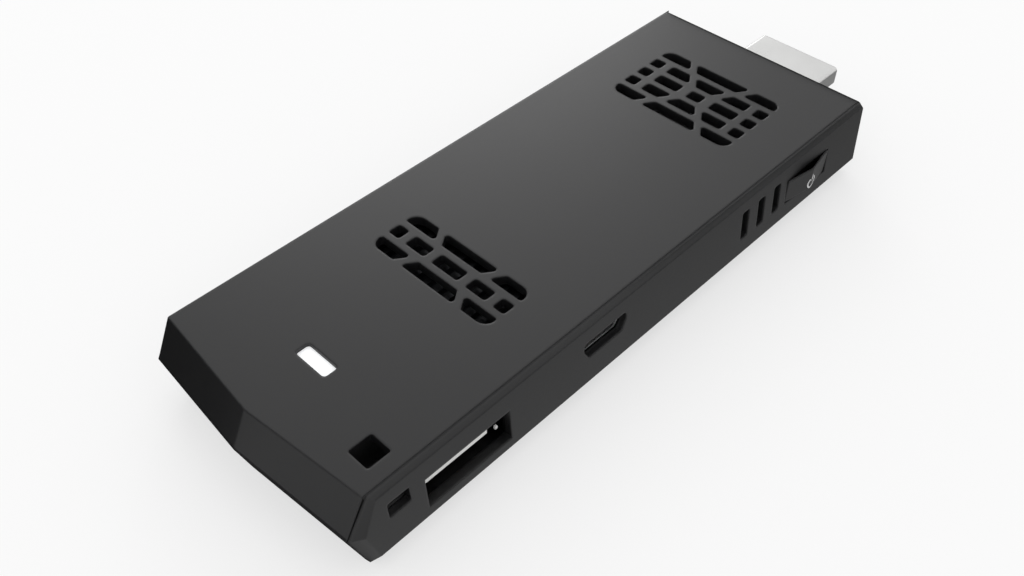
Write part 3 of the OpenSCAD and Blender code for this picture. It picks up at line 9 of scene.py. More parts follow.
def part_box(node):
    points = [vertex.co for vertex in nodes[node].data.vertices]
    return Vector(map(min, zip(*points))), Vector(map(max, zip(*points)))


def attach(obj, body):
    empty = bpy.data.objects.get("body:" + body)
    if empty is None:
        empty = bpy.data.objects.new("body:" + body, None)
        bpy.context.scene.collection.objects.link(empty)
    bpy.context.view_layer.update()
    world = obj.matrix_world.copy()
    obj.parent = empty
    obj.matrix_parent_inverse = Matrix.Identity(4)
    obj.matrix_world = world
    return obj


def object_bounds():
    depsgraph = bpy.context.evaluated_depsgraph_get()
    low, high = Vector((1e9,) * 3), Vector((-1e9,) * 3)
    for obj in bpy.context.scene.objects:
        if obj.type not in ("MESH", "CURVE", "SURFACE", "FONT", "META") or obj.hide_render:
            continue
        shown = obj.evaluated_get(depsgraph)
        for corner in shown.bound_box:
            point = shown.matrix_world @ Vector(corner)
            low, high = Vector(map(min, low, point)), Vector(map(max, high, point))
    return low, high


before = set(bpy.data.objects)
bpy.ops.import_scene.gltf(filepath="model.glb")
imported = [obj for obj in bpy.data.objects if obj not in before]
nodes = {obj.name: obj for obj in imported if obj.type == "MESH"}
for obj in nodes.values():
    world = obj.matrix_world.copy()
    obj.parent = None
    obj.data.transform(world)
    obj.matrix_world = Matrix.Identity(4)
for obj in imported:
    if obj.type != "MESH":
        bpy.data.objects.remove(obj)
cadLow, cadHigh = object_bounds()
scene = bpy.context.scene
scene.view_settings.view_transform = "Standard"
mm = 0.001
white = (1, 1, 1, 1)


def hexLinear(code):
    parts = [int(code[i:i + 2], 16) / 255 for i in (1, 3, 5)]
    return tuple(c / 12.92 if c <= 0.04045 else ((c + 0.055) / 1.055) ** 2.4 for c in parts) + (1,)


def perMetre(sizeMm):
    return 1000 / sizeMm  # a texture's scale for features of this size


def addNode(tree, kind, settings=None, links=None):
    node = tree.nodes.new(kind)
    for key, value in (settings or {}).items():
        if isinstance(key, str) and hasattr(node, key):
            setattr(node, key, value)
        else:
            node.inputs[key].default_value = value
    for key, source in (links or {}).items():
        tree.links.new(source, node.inputs[key])
    return node


def newMaterial(name):
    material = bpy.data.materials.new(name)
    material.use_nodes = True
    tree = material.node_tree
    return material, tree, tree.nodes["Principled BSDF"]


def addPiece(name, mesh, material):
    mesh.materials.append(material)
    piece = bpy.data.objects.new(name, mesh)
    scene.collection.objects.link(piece)
    return piece


# camera fitted to the stick's edges in a 1024 x 576 frame, in mm and degrees
cameraFit = {"eye": (-78.66, -67.42, 99.92), "azimuth": -45.393, "elevation": 45.844, "roll": -0.336,
             "lens": 36.355, "sensor": 36, "clip": (1, 20000)}


def placeCamera(fit):
    azimuth, elevation, roll = (math.radians(fit[k]) for k in ("azimuth", "elevation", "roll"))
    back = Vector((math.sin(azimuth) * math.cos(elevation), -math.cos(azimuth) * math.cos(elevation),
                   math.sin(elevation)))
    level = Vector((math.cos(azimuth), math.sin(azimuth), 0))
    upright = back.cross(level)
    right = level * math.cos(roll) + upright * math.sin(roll)
    up = upright * math.cos(roll) - level * math.sin(roll)
    data = bpy.data.cameras.new("camera")
    data.sensor_fit, data.sensor_width, data.lens = "HORIZONTAL", fit["sensor"], fit["lens"]
    data.clip_start, data.clip_end = (distance * mm for distance in fit["clip"])
    camera = bpy.data.objects.new("camera", data)
    turn = Matrix((right, up, back)).transposed().to_4x4()
    camera.matrix_world = Matrix.Translation(Vector(fit["eye"]) * mm) @ turn
    scene.collection.objects.link(camera)
    scene.camera = camera


placeCamera(cameraFit)
print("camera placed")

# soft white dome: plain white to the lens and to reflections, a little dimmer as a light
whiteDome = {"seen": 1.0, "light": 0.92}


def seenRay(tree):
    path = addNode(tree, "ShaderNodeLightPath")
    gloss = addNode(tree, "ShaderNodeMath", {"operation": "MAXIMUM"},
                    {0: path.outputs["Is Camera Ray"], 1: path.outputs["Is Glossy Ray"]})
    return addNode(tree, "ShaderNodeMath", {"operation": "MAXIMUM"},
                   {0: gloss.outputs[0], 1: path.outputs["Is Transmission Ray"]}).outputs[0]


def lightDome(dome):
    world = bpy.data.worlds.new("studioDome")
    scene.world = world
    world.use_nodes = True
    tree = world.node_tree
    tree.nodes.clear()
    strength = addNode(tree, "ShaderNodeMapRange", {"To Min": dome["light"], "To Max": dome["seen"]},
                       {"Value": seenRay(tree)})
    sky = addNode(tree, "ShaderNodeBackground", {"Color": white}, {"Strength": strength.outputs[0]})
    addNode(tree, "ShaderNodeOutputWorld", links={"Surface": sky.outputs[0]})


lightDome(whiteDome)

# white paper sweep, matt; the lens and reflections see it mixed with plain white by lift, which pales
# the shadow and adds no diffuse light. Size in metres, drop below the part in mm
paperSweep = {"colour": "#f7f7f7", "size": 6.0, "drop": 0.01, "lift": 0.6}


def mattMaterial(name, colour):
    material, tree, shader = newMaterial(name)
    shader.inputs["Base Color"].default_value = hexLinear(colour)
    shader.inputs["Roughness"].default_value = 1
    shader.inputs["Specular IOR Level"].default_value = 0
    return material, tree, shader


def layFloor(sweep):
    half, level = sweep["size"] / 2, cadLow.z - sweep["drop"] * mm
    mesh = bpy.data.meshes.new("floor")
    corners = [(x * half, y * half, level) for x, y in ((-1, -1), (1, -1), (1, 1), (-1, 1))]
    mesh.from_pydata(corners, [], [(0, 1, 2, 3)])
    paper, tree, shader = mattMaterial("paperSweepMatt", sweep["colour"])
    lift = addNode(tree, "ShaderNodeMath", {"operation": "MULTIPLY", 1: sweep["lift"]}, {0: seenRay(tree)})
    glow = addNode(tree, "ShaderNodeEmission", {"Color": white, "Strength": 1})
    both = addNode(tree, "ShaderNodeMixShader",
                   links={0: lift.outputs[0], 1: shader.outputs[0], 2: glow.outputs[0]})
    tree.links.new(both.outputs[0], tree.nodes["Material Output"].inputs["Surface"])
    floor = addPiece("floor", mesh, paper)


layFloor(paperSweep)

# cards that only reflections show, corners in mm; the black ones are named for the place that they darken
# or lie beyond
blackCards = {
    "farFacetFloor": ((-56, 3, 0.4), (-214, 118, 0.4), (-69, 199, 0.4), (-48, 22, 0.4)),
    "farFacetWall": ((-214, 118, 0.4), (-69, 199, 0.4), (-69, 199, 380), (-214, 118, 380)),
    "nose": ((-50, -18.6, 0.5), (-64, -18.6, 0.5), (-64, 10, 0.5), (-50, 10, 0.5)),
    "plugFloor": ((47, -5, 0.4), (289, -20, 0.4), (257, 149, 0.4), (47, 12, 0.4)),
    "plugWall": ((289, -20, 0.4), (257, 149, 0.4), (257, 149, 80), (289, -20, 80)),
    "portFloor": ((-70, -75, 0.4), (250, -75, 0.4), (250, -300, 0.4), (-70, -300, 0.4)),
    "portWall": ((-70, -300, 0.4), (250, -300, 0.4), (250, -300, 75), (-70, -300, 75)),
    "rim": ((5, -30, 21), (65, -30, 16), (65, -30, 32), (5, -30, 32)),
    "plugEndEdge": ((43.6, -17.2, 12.2), (43.6, 17.4, 12.2), (43.6, 17.4, 13.3), (43.6, -17.2, 13.3)),
    "nearFacetEdge": ((-214, 118, 90), (-252, 55, 90), (-252, 55, 380), (-214, 118, 380)),
}

# the grey ones shade the side wall, the near rear facet and the plug's side, darker towards the plug
greyCards = {
    "sideWall": ((-70, -16.5, 0.3), (150, -16.5, 0.3), (150, -75, 0.3), (-70, -75, 0.3)),
    "nearFacet": ((-56, 3, 0.3), (-214, 118, 0.3), (-214, -60, 0.3), (-56, -16.5, 0.3)),
    "plugSide": ((44, -5, 0.3), (150, -5, 0.3), (150, -16.5, 0.3), (44, -16.5, 0.3)),
}
greyFade = {"x": (-60, 60), "light": (0.57, 0.29)}  # mm, and the light at those two places


def reflectOnly(name, cards, material):
    mesh = bpy.data.meshes.new(name)
    spots = [tuple(v * mm for v in corner) for card in cards.values() for corner in card]
    mesh.from_pydata(spots, [], [tuple(range(i, i + 4)) for i in range(0, len(spots), 4)])
    screen = addPiece(name, mesh, material)
    screen.visible_camera = False
    screen.visible_shadow = False
    screen.visible_diffuse = False


def gradedCard(name, fade):
    material, tree = newMaterial(name)[:2]
    tree.nodes.clear()
    place = addNode(tree, "ShaderNodeTexCoord").outputs["Object"]
    along = addNode(tree, "ShaderNodeSeparateXYZ", links={0: place}).outputs["X"]
    light = addNode(tree, "ShaderNodeMapRange",
                    {"From Min": fade["x"][0] * mm, "From Max": fade["x"][1] * mm,
                     "To Min": fade["light"][0], "To Max": fade["light"][1]}, {"Value": along})
    glow = addNode(tree, "ShaderNodeEmission", links={"Strength": light.outputs[0]})
    addNode(tree, "ShaderNodeOutputMaterial", links={"Surface": glow.outputs[0]})
    return material


reflectOnly("blackFlags", blackCards, mattMaterial("feltBlack", "#000000")[0])
reflectOnly("gradedCards", greyCards, gradedCard("cardGradedGrey", greyFade))

# large soft box beyond the far long side, in metres and watts
softBox = {"size": 0.5, "at": (0.51, 0.66, 0.34), "power": 1.5}


def hangBox(box):
    lamp = bpy.data.lights.new("softBox", "AREA")
    lamp.shape, lamp.size, lamp.energy = "SQUARE", box["size"], box["power"]
    hung = bpy.data.objects.new("softBox", lamp)
    hung.location = box["at"]
    hung.visible_camera = False
    hung.rotation_euler = Vector(box["at"]).to_track_quat("Z", "Y").to_euler()
    scene.collection.objects.link(hung)


hangBox(softBox)
print("studio lit")


def dress(material, *names):
    for name in names:
        slots = nodes[name].data.materials
        slots.clear()
        slots.append(material)
        for polygon in nodes[name].data.polygons:
            polygon.material_index = 0


# Moulded plastics: a noise grain in the tool's skin, a slow drift of colour from the pellets, and edges
# that the tool rounds. Their paler tint is partly wear and partly painted highlight; it starts where the
# rounding turns by 6 degrees and is full at 26 (cosines).
mouldedSkin = {"grainDetail": 3, "grainRoughness": 0.6, "driftDetail": 2, "edgeSamples": 4,
               "edgeTurn": (0.995, 0.9)}


def mouldedPlastic(name, look):
    material, tree, shader = newMaterial(name)
    skin = mouldedSkin
    place = addNode(tree, "ShaderNodeTexCoord").outputs["Object"]
    grain = addNode(tree, "ShaderNodeTexNoise",
                    {"Scale": perMetre(look["grainMm"]), "Detail": skin["grainDetail"],
                     "Roughness": skin["grainRoughness"]}, {"Vector": place}).outputs["Fac"]
    drift = addNode(tree, "ShaderNodeTexNoise",
                    {"Scale": perMetre(look["driftMm"]), "Detail": skin["driftDetail"]},
                    {"Vector": place}).outputs["Fac"]
    rounded = addNode(tree, "ShaderNodeBevel",
                      {"samples": skin["edgeSamples"], "Radius": look["edgeMm"] * mm}).outputs[0]
    flat = addNode(tree, "ShaderNodeNewGeometry").outputs["Normal"]
    turn = addNode(tree, "ShaderNodeVectorMath", {"operation": "DOT_PRODUCT"}, {0: rounded, 1: flat})
    edge = addNode(tree, "ShaderNodeMapRange",
                   {"From Min": skin["edgeTurn"][0], "From Max": skin["edgeTurn"][1]},
                   {"Value": turn.outputs["Value"]})
    colour = addNode(tree, "ShaderNodeMix",
                     {"data_type": "RGBA", 6: hexLinear(look["dark"]), 7: hexLinear(look["pale"])},
                     {0: drift})
    # paler tint on the rounded edges: partly wear, partly a painted highlight
    wornAndHighlit = addNode(tree, "ShaderNodeMath", {"operation": "MULTIPLY", 1: look["edgeWearAndHighlight"]}, {0: edge.outputs[0]})
    shown = addNode(tree, "ShaderNodeMix", {"data_type": "RGBA", 7: hexLinear(look["edge"])},
                    {0: wornAndHighlit.outputs[0], 6: colour.outputs[2]})
    rough = addNode(tree, "ShaderNodeMapRange",
                    {"To Min": look["roughness"][0], "To Max": look["roughness"][1]}, {"Value": grain})
    bump = addNode(tree, "ShaderNodeBump", {"Strength": look["bump"], "Distance": look["depthMm"] * mm},
                   {"Height": grain, "Normal": rounded})
    shader.inputs["IOR"].default_value = look["ior"]
    shader.inputs["Specular IOR Level"].default_value = look["gloss"]
    tree.links.new(shown.outputs[2], shader.inputs["Base Color"])
    tree.links.new(rough.outputs[0], shader.inputs["Roughness"])
    tree.links.new(bump.outputs[0], shader.inputs["Normal"])
    return material


# ABS moulded in a spark-eroded tool: near black and satin, with soft edges that shade more than they shine.
# The real grain is about 0.05 mm; it is drawn at 0.3 mm so that it shows.
sparkedAbs = {"dark": "#151516", "pale": "#19191a", "edge": "#2c2c2e", "edgeWearAndHighlight": 0.3, "ior": 1.53,
              "gloss": 0.42, "roughness": (0.32, 0.42), "grainMm": 0.3, "driftMm": 9, "edgeMm": 0.4,
              "bump": 0.25, "depthMm": 0.02}
casePlastic = mouldedPlastic("absSparkErodedBlack", sparkedAbs)
dress(casePlastic, "top_cover", "bottom_cover")

# The button is the same plastic from a smoother tool: a little brighter than the wall round it.
buttonAbs = dict(sparkedAbs, gloss=0.56)
dress(mouldedPlastic("absMouldedButtonBlack", buttonAbs), "power_button")

# Liquid-crystal polymer with glass fibre: dead black, a little streaky where the fibres lie.
fibreLcp = {"dark": "#0e0e0f", "pale": "#161617", "edge": "#2a2a2b", "edgeWearAndHighlight": 0.3, "ior": 1.6,
            "gloss": 0.4, "roughness": (0.5, 0.65), "grainMm": 0.25, "driftMm": 2.5, "edgeMm": 0.06,
            "bump": 0.3, "depthMm": 0.015}
dress(mouldedPlastic("lcpGlassFilledBlack", fibreLcp),
      "hdmi_insulator", "micro_usb_tongue", "card_socket_base", "switch_body")

# Polyester with glass fibre, left white: the USB tongue's pale front.
whitePolyester = dict(fibreLcp, dark="#dededc", pale="#ebebe9", edge="#f4f4f2", gloss=0.5,
                      roughness=(0.35, 0.5))
tonguePlastic = mouldedPlastic("pbtGlassFilledWhite", whitePolyester)
dress(tonguePlastic, "usb_tongue")

# Glass-filled polyester of the fan: black with a soft satin skin.
fanPolyester = {"dark": "#0b0b0c", "pale": "#121213", "edge": "#262627", "edgeWearAndHighlight": 0.3, "ior": 1.57,
                "gloss": 0.4, "roughness": (0.42, 0.55), "grainMm": 0.3, "driftMm": 4, "edgeMm": 0.06,
                "bump": 0.2, "depthMm": 0.015}
dress(mouldedPlastic("pbtMouldedBlack", fanPolyester), "fan_housing", "fan_lid", "fan_rotor")

# Nylon in its own ivory: warm, a little waxy.
ivoryNylon = {"dark": "#d9cfae", "pale": "#e6dec3", "edge": "#f0e9d4", "edgeWearAndHighlight": 0.4, "ior": 1.53,
              "gloss": 0.5, "roughness": (0.35, 0.5), "grainMm": 0.2, "driftMm": 1.5, "edgeMm": 0.06,
              "bump": 0.2, "depthMm": 0.01}
dress(mouldedPlastic("nylonMouldedIvory", ivoryNylon), "card_slider", "switch_plunger", "fan_connector")

# Epoxy transfer moulded round the chips: charcoal with fine silica grit.
gritEpoxy = {"dark": "#19191b", "pale": "#232326", "edge": "#3a3a3d", "edgeWearAndHighlight": 0.3, "ior": 1.55,
             "gloss": 0.45, "roughness": (0.5, 0.68), "grainMm": 0.18, "driftMm": 3, "edgeMm": 0.06,
             "bump": 0.35, "depthMm": 0.012}
dress(mouldedPlastic("epoxyTransferMoulded", gritEpoxy),
      "processor", "memory_chips", "storage_chip", "power_chip", "inductors")

# Fired ceramic of the capacitors: dull tan, pale at the edges.
firedCeramic = {"dark": "#8a6f4c", "pale": "#a88a63", "edge": "#cfcac2", "edgeWearAndHighlight": 0.6, "ior": 1.7,
                "gloss": 0.4, "roughness": (0.45, 0.6), "grainMm": 0.12, "driftMm": 0.8, "edgeMm": 0.08,
                "bump": 0.2, "depthMm": 0.01}
dress(mouldedPlastic("ceramicFiredTan", firedCeramic), "capacitors")

# Resin cast round the light chip: pale yellow from its phosphor, and smooth.
phosphorResin = {"dark": "#e8dfa4", "pale": "#f2ebbf", "edge": "#faf6dc", "edgeWearAndHighlight": 0.3, "ior": 1.5,
                 "gloss": 0.6, "roughness": (0.15, 0.25), "grainMm": 0.2, "driftMm": 0.6, "edgeMm": 0.05,
                 "bump": 0.1, "depthMm": 0.005}
dress(mouldedPlastic("resinCastPhosphor", phosphorResin), "status_led")

# Thin vinyl jackets on the leads: satin, slightly wavy from the extruder.
blackVinyl = {"dark": "#151516", "pale": "#1e1e20", "edge": "#2c2c2e", "edgeWearAndHighlight": 0.2, "ior": 1.53,
              "gloss": 0.5, "roughness": (0.35, 0.45), "grainMm": 0.4, "driftMm": 3, "edgeMm": 0.04,
              "bump": 0.15, "depthMm": 0.01}
dress(mouldedPlastic("vinylExtrudedBlack", blackVinyl), "antenna_leads")
redVinyl = dict(blackVinyl, dark="#8f1512", pale="#a51d18", edge="#bd4a44")
dress(mouldedPlastic("vinylExtrudedRed", redVinyl), "fan_lead")

# Silicone pad filled with oxide: chalky blue grey, matt and a little pitted.
filledSilicone = {"dark": "#9aa7b3", "pale": "#aebbc6", "edge": "#c4ced6", "edgeWearAndHighlight": 0.2, "ior": 1.41,
                  "gloss": 0.3, "roughness": (0.7, 0.85), "grainMm": 0.3, "driftMm": 2, "edgeMm": 0.1,
                  "bump": 0.4, "depthMm": 0.03}
dress(mouldedPlastic("siliconeFilledPad", filledSilicone), "thermal_pad")

# Bonded ferrite ring: graphite grey with a coarse powder grain.
bondedFerrite = {"dark": "#2b2c2e", "pale": "#3a3b3e", "edge": "#56575a", "edgeWearAndHighlight": 0.4, "ior": 2.0,
                 "gloss": 0.6, "roughness": (0.4, 0.6), "grainMm": 0.15, "driftMm": 1.5, "edgeMm": 0.05,
                 "bump": 0.35, "depthMm": 0.01}
dress(mouldedPlastic("ferriteBonded", bondedFerrite), "fan_magnet")
print("plastics dressed")

# Metals: fine lines from rolling or brushing along one axis, faint stains, and soft edges from stamping.
# Lines and stains together set the roughness over the spread that they really reach.
workedSkin = {"lineDetail": 3, "lineRoughness": 0.55, "stainDetail": 3, "spread": (0.6, 1.4),
              "edgeSamples": 4}


def workedMetal(name, look):
    material, tree, shader = newMaterial(name)
    skin = workedSkin
    place = addNode(tree, "ShaderNodeTexCoord").outputs["Object"]
    stretch = [perMetre(look["lineLengthMm" if axis == look["along"] else "lineMm"]) for axis in range(3)]
    laid = addNode(tree, "ShaderNodeMapping", {"Scale": stretch}, {"Vector": place}).outputs[0]
    lines = addNode(tree, "ShaderNodeTexNoise",
                    {"Scale": 1, "Detail": skin["lineDetail"], "Roughness": skin["lineRoughness"]},
                    {"Vector": laid}).outputs["Fac"]
    stain = addNode(tree, "ShaderNodeTexNoise",
                    {"Scale": perMetre(look["stainMm"]), "Detail": skin["stainDetail"]},
                    {"Vector": place}).outputs["Fac"]
    colour = addNode(tree, "ShaderNodeMix",
                     {"data_type": "RGBA", 6: hexLinear(look["dark"]), 7: hexLinear(look["pale"])},
                     {0: stain})
    both = addNode(tree, "ShaderNodeMath", {"operation": "ADD"}, {0: lines, 1: stain})
    rough = addNode(tree, "ShaderNodeMapRange",
                    {"From Min": skin["spread"][0], "From Max": skin["spread"][1],
                     "To Min": look["roughness"][0], "To Max": look["roughness"][1]},
                    {"Value": both.outputs[0]})
    rounded = addNode(tree, "ShaderNodeBevel",
                      {"samples": skin["edgeSamples"], "Radius": look["edgeMm"] * mm}).outputs[0]
    bump = addNode(tree, "ShaderNodeBump", {"Strength": look["bump"], "Distance": look["depthMm"] * mm},
                   {"Height": lines, "Normal": rounded})
    shader.inputs["Metallic"].default_value = 1
    tree.links.new(colour.outputs[2], shader.inputs["Base Color"])
    tree.links.new(rough.outputs[0], shader.inputs["Roughness"])
    tree.links.new(bump.outputs[0], shader.inputs["Normal"])
    return material


# Nickel-plated steel sheet folded into the plug: bright, satin, with rolling lines along its length.
brightNickel = {"dark": "#cbcbca", "pale": "#d9d9d8", "roughness": (0.26, 0.36), "along": 0, "lineMm": 0.12,
                "lineLengthMm": 6, "stainMm": 5, "edgeMm": 0.12, "bump": 0.12, "depthMm": 0.01}
dress(workedMetal("nickelPlatedSheetBright", brightNickel), "hdmi_shell")

# The sockets' stamped shells: the same plating, thinner and a little greyer.
socketNickel = dict(brightNickel, dark="#b9babb", pale="#cbccce", roughness=(0.3, 0.42), along=1,
                    edgeMm=0.06)
dress(workedMetal("nickelPlatedSheetStamped", socketNickel),
      "micro_usb_shell", "card_socket_shell", "radio_shield")

# The USB shell's nickel is painted dark grey as a painted shade, so that its inside stays dark behind the
# opening.
paintedShadeNickel = dict(socketNickel, dark="#323234", pale="#3c3c3e")
dress(workedMetal("nickelPlatedSheetPaintedShade", paintedShadeNickel), "usb_shell")

# The crystal's drawn can: the same nickel, a little warmer, drawn lengthwise.
drawnNickel = dict(socketNickel, dark="#b4b3ac", pale="#c7c6bf", along=0)
dress(workedMetal("nickelCanDrawn", drawnNickel), "clock_crystal")

# Hard gold over nickel on the contacts: warm and bright, with wipe marks along the mating stroke.
hardGold = {"dark": "#d6a94a", "pale": "#e6c065", "roughness": (0.2, 0.32), "along": 1, "lineMm": 0.08,
            "lineLengthMm": 2, "stainMm": 1.5, "edgeMm": 0.04, "bump": 0.1, "depthMm": 0.005}
dress(workedMetal("goldPlatedContact", hardGold),
      "usb_contacts", "micro_usb_contacts", "card_socket_contacts")
dress(workedMetal("goldPlatedPlugContact", dict(hardGold, along=0)), "hdmi_contacts")

# Milled aluminium of the heat spreader: charcoal as a painted shade under the grille, with tool lines
# across the fins.
milledAluminiumPaintedShade = {"dark": "#3c3d3f", "pale": "#48494b", "roughness": (0.38, 0.5), "along": 1,
                   "lineMm": 0.2, "lineLengthMm": 8, "stainMm": 6, "edgeMm": 0.08, "bump": 0.2,
                   "depthMm": 0.01}
dress(workedMetal("aluminiumMilledPaintedShade", milledAluminiumPaintedShade), "heat_spreader")

# Zinc-plated and ground steel: cool grey with fine turning lines.
groundSteel = {"dark": "#a3a6aa", "pale": "#b6b9bd", "roughness": (0.25, 0.38), "along": 2, "lineMm": 0.1,
               "lineLengthMm": 1.5, "stainMm": 1.2, "edgeMm": 0.06, "bump": 0.15, "depthMm": 0.006}
dress(workedMetal("steelZincPlated", groundSteel),
      "fan_shaft", "fan_screws", "board_screws", "spreader_screws")

# Enamelled copper wire wound in layers: red brown, ribbed at the wire's pitch,
# which is drawn at 0.25 mm so that it shows.
woundCopper = {"dark": "#9c5a32", "pale": "#b8703f", "roughness": (0.25, 0.4), "along": 0, "lineMm": 0.25,
               "lineLengthMm": 4, "stainMm": 1, "edgeMm": 0.05, "bump": 0.6, "depthMm": 0.05}
dress(workedMetal("copperWireWound", woundCopper), "fan_stator")

# Sintered bronze: brown gold and open-pored.
sinteredBronze = {"dark": "#8e6b3c", "pale": "#a5824f", "roughness": (0.4, 0.55), "along": 0, "lineMm": 0.1,
                  "lineLengthMm": 0.1, "stainMm": 0.6, "edgeMm": 0.05, "bump": 0.4, "depthMm": 0.02}
dress(workedMetal("bronzeSintered", sinteredBronze), "fan_bearing")

# Etched copper on polyimide film: copper tracks that show through an amber film.
etchedCopper = {"dark": "#a8703c", "pale": "#bd8348", "roughness": (0.3, 0.42), "along": 0, "lineMm": 0.8,
                "lineLengthMm": 6, "stainMm": 3, "edgeMm": 0.03, "bump": 0.2, "depthMm": 0.02}
dress(workedMetal("copperEtchedOnFilm", etchedCopper), "main_antenna", "second_antenna")
print("metals dressed")

# Glass laminate under green solder mask: copper tracks show paler through the mask and stand a little
# proud, and plated holes dot the board. Track gap and hole edge are in cells of their patterns.
maskedLaminate = {"mask": "#12402a", "track": "#2a6b48", "hole": "#c9a55a", "trackMm": 1.1,
                  "trackGap": (0.16, 0.2), "holeMm": 2.6, "holeEdge": (0.13, 0.1), "holeScatter": 0.7,
                  "roughness": 0.32, "ior": 1.5, "bump": 0.5, "depthMm": 0.03}


def solderMask(name, look):
    material, tree, shader = newMaterial(name)
    place = addNode(tree, "ShaderNodeTexCoord").outputs["Object"]
    second, nearest = (addNode(tree, "ShaderNodeTexVoronoi",
                               {"distance": "MANHATTAN", "feature": feature,
                                "Scale": perMetre(look["trackMm"] * 2)},
                               {"Vector": place}).outputs["Distance"] for feature in ("F2", "F1"))
    gap = addNode(tree, "ShaderNodeMath", {"operation": "SUBTRACT"}, {0: second, 1: nearest})
    track = addNode(tree, "ShaderNodeMapRange",
                    {"From Min": look["trackGap"][0], "From Max": look["trackGap"][1]},
                    {"Value": gap.outputs[0]})
    dots = addNode(tree, "ShaderNodeTexVoronoi",
                   {"Scale": perMetre(look["holeMm"]), "Randomness": look["holeScatter"]},
                   {"Vector": place})
    hole = addNode(tree, "ShaderNodeMapRange",
                   {"From Min": look["holeEdge"][0], "From Max": look["holeEdge"][1]},
                   {"Value": dots.outputs["Distance"]})
    green = addNode(tree, "ShaderNodeMix",
                    {"data_type": "RGBA", 6: hexLinear(look["mask"]), 7: hexLinear(look["track"])},
                    {0: track.outputs[0]})
    colour = addNode(tree, "ShaderNodeMix", {"data_type": "RGBA", 7: hexLinear(look["hole"])},
                     {0: hole.outputs[0], 6: green.outputs[2]})
    bump = addNode(tree, "ShaderNodeBump", {"Strength": look["bump"], "Distance": look["depthMm"] * mm},
                   {"Height": track.outputs[0]})
    shader.inputs["Roughness"].default_value = look["roughness"]
    shader.inputs["IOR"].default_value = look["ior"]
    tree.links.new(colour.outputs[2], shader.inputs["Base Color"])
    tree.links.new(hole.outputs[0], shader.inputs["Metallic"])
    tree.links.new(bump.outputs[0], shader.inputs["Normal"])
    return material


dress(solderMask("laminateSolderMaskGreen", maskedLaminate), "main_board", "radio_module")

# Diffusing polycarbonate of the light window: milky white, lit from below with a slightly hotter middle.
milkyWindow = {"colour": "#f6f8fa", "glow": "#ffffff", "rim": 0.3, "middle": 0.4, "roughness": 0.3,
               "ior": 1.58, "grainMm": 0.2, "bump": 0.1, "depthMm": 0.01}


def glowingWindow(name, look):
    material, tree, shader = newMaterial(name)
    place = addNode(tree, "ShaderNodeTexCoord").outputs["Object"]
    low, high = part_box("light_pipe")
    middle, reach = (low + high) / 2, (high - low).y / 2
    offset = addNode(tree, "ShaderNodeVectorMath", {"operation": "DISTANCE", 1: middle}, {0: place})
    glow = addNode(tree, "ShaderNodeMapRange",
                   {"From Min": 0, "From Max": reach, "To Min": look["middle"], "To Max": look["rim"]},
                   {"Value": offset.outputs["Value"]})
    grain = addNode(tree, "ShaderNodeTexNoise", {"Scale": perMetre(look["grainMm"])}, {"Vector": place})
    bump = addNode(tree, "ShaderNodeBump", {"Strength": look["bump"], "Distance": look["depthMm"] * mm},
                   {"Height": grain.outputs["Fac"]})
    shader.inputs["Base Color"].default_value = hexLinear(look["colour"])
    shader.inputs["Emission Color"].default_value = hexLinear(look["glow"])
    shader.inputs["Roughness"].default_value = look["roughness"]
    shader.inputs["IOR"].default_value = look["ior"]
    tree.links.new(glow.outputs[0], shader.inputs["Emission Strength"])
    tree.links.new(bump.outputs[0], shader.inputs["Normal"])
    return material


dress(glowingWindow("polycarbonateDiffuser", milkyWindow), "light_pipe")
print("board and window dressed")


# closed forms, each from a row of rings in metres, joined side by side and capped at both ends
def addClosed(name, rows, material, body):
    form = bmesh.new()
    for row in rows:
        rings = [[form.verts.new(point) for point in ring] for ring in row]
        count = len(rings[0])
        for a, b in zip(rings, rings[1:]):
            for i in range(count):
                j = (i + 1) % count
                form.faces.new((a[i], a[j], b[j], b[i]))
        form.faces.new(rings[0])
        form.faces.new(rings[-1])
    bmesh.ops.recalc_face_normals(form, faces=form.faces)
    mesh = bpy.data.meshes.new(name)
    form.to_mesh(mesh)
    form.free()
    piece = addPiece(name, mesh, material)
    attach(piece, body)


# standby sign on the power button: an open ring and a bar, in mm from the sign's middle and in degrees,
# laid on the button by rays from castFrom
standbySign = {"at": (29.95, 6.4), "ring": 0.85, "stroke": 0.27, "opening": 70, "bar": (0.2, 1.3),
               "ink": 0.02, "ringSteps": 40, "barSteps": 8, "castFrom": -40}

# Pad-printing ink: pale grey, matt, thin enough that the plastic's grain comes through.
paleInk = {"thin": "#b9b9b9", "full": "#d4d4d4", "roughness": 0.6, "grainMm": 0.3, "grainDetail": 3}


def padInk(name, look):
    material, tree, shader = newMaterial(name)
    place = addNode(tree, "ShaderNodeTexCoord").outputs["Object"]
    grain = addNode(tree, "ShaderNodeTexNoise",
                    {"Scale": perMetre(look["grainMm"]), "Detail": look["grainDetail"]}, {"Vector": place})
    cover = addNode(tree, "ShaderNodeMix",
                    {"data_type": "RGBA", 6: hexLinear(look["thin"]), 7: hexLinear(look["full"])},
                    {0: grain.outputs["Fac"]})
    shader.inputs["Roughness"].default_value = look["roughness"]
    tree.links.new(cover.outputs[2], shader.inputs["Base Color"])
    return material


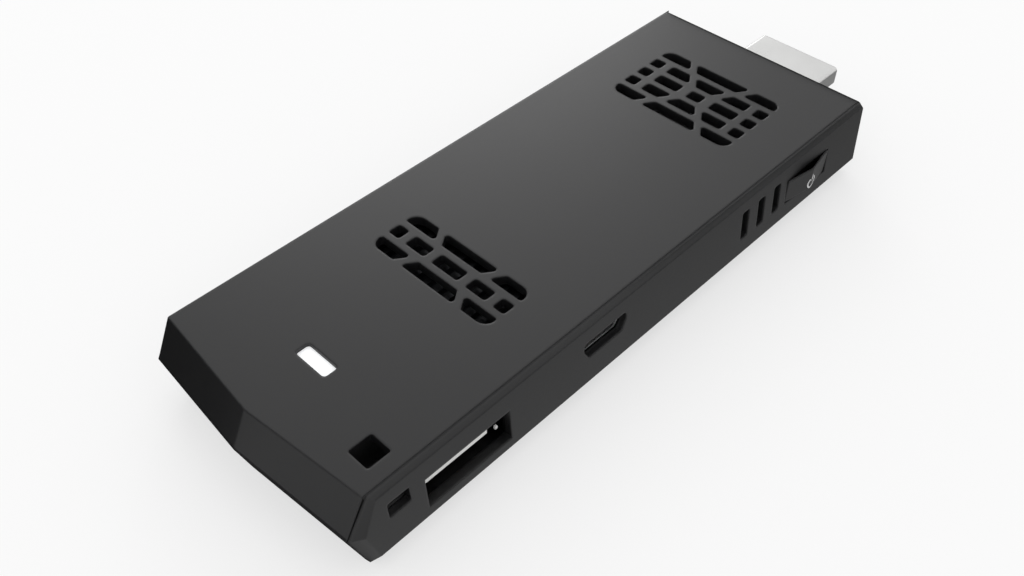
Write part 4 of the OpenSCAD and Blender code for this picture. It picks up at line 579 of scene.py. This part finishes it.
def signRows(sign):
    surface = BVHTree.FromObject(nodes["power_button"], bpy.context.evaluated_depsgraph_get())

    def onButton(u, v, lift):
        start = Vector((sign["at"][0] + u, sign["castFrom"], sign["at"][1] + v)) * mm
        point, normal = surface.ray_cast(start, Vector((0, 1, 0)))[:2]
        return point + normal * lift * mm

    half, ink = sign["stroke"] / 2, sign["ink"]
    radii = sign["ring"] - half, sign["ring"] + half
    first, last = sign["opening"] / 2, 360 - sign["opening"] / 2
    turns = [math.radians(90 + first + (last - first) * i / sign["ringSteps"])
             for i in range(sign["ringSteps"] + 1)]
    low, high = sign["bar"]
    heights = [low + (high - low) * i / sign["barSteps"] for i in range(sign["barSteps"] + 1)]
    ring = [[(math.cos(t) * r, math.sin(t) * r) for r in radii] for t in turns]
    bar = [[(-half, height), (half, height)] for height in heights]
    return [[[onButton(*inner, -ink), onButton(*outer, -ink), onButton(*outer, ink), onButton(*inner, ink)]
             for inner, outer in outline] for outline in (ring, bar)]


addClosed("standby_sign", signRows(standbySign), padInk("inkPadPrinted", paleInk), "button")
print("standby sign printed")

# rounded lead-in on the USB tongue's front, level with the shell's mouth and parted by a notch;
# parts in mm from the tongue's middle
tongueNose = {"reach": 0.33, "round": 0.1, "turns": 4,
              "parts": ({"x": (-5.55, 3.66), "z": (-0.18, 1.85)}, {"x": (5.0, 5.34), "z": (-0.85, -0.35)})}


def noseRows(nose):
    low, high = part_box("usb_tongue")
    middle = (low + high) / 2 / mm
    front, radius = low.y / mm, nose["round"]
    face = front - nose["reach"] + radius
    arc = [math.radians(90 * i / nose["turns"]) for i in range(nose["turns"] + 1)]
    rows = []
    for part in nose["parts"]:
        base, top = (middle.z + z for z in part["z"])
        outline = [(front, base)]
        outline += [(face - radius * math.sin(a), base + radius * (1 - math.cos(a))) for a in arc]
        outline += [(face - radius * math.cos(a), top - radius * (1 - math.sin(a))) for a in arc]
        outline += [(front, top)]
        rows.append([[Vector((middle.x + x, y, z)) * mm for y, z in outline] for x in part["x"]])
    return rows


addClosed("usb_tongue_nose", noseRows(tongueNose), tonguePlastic, "case")
print("tongue nose added")

# lap lip that the top cover holds in the open seam along both sides, just under the top,
# so that the seam is a shallow line, in mm
seamLip = {"x": (-49.0, 42.2), "y": (17.27, 17.405), "z": (12.0, 12.44)}


def lipRows(lip):
    (inner, outer), (base, top) = lip["y"], lip["z"]
    corners = (inner, base), (outer, base), (outer, top), (inner, top)
    return [[[Vector((x, side * y, z)) * mm for y, z in corners] for x in lip["x"]] for side in (-1, 1)]


addClosed("seam_lip", lipRows(seamLip), casePlastic, "case")
print("seam lip added")
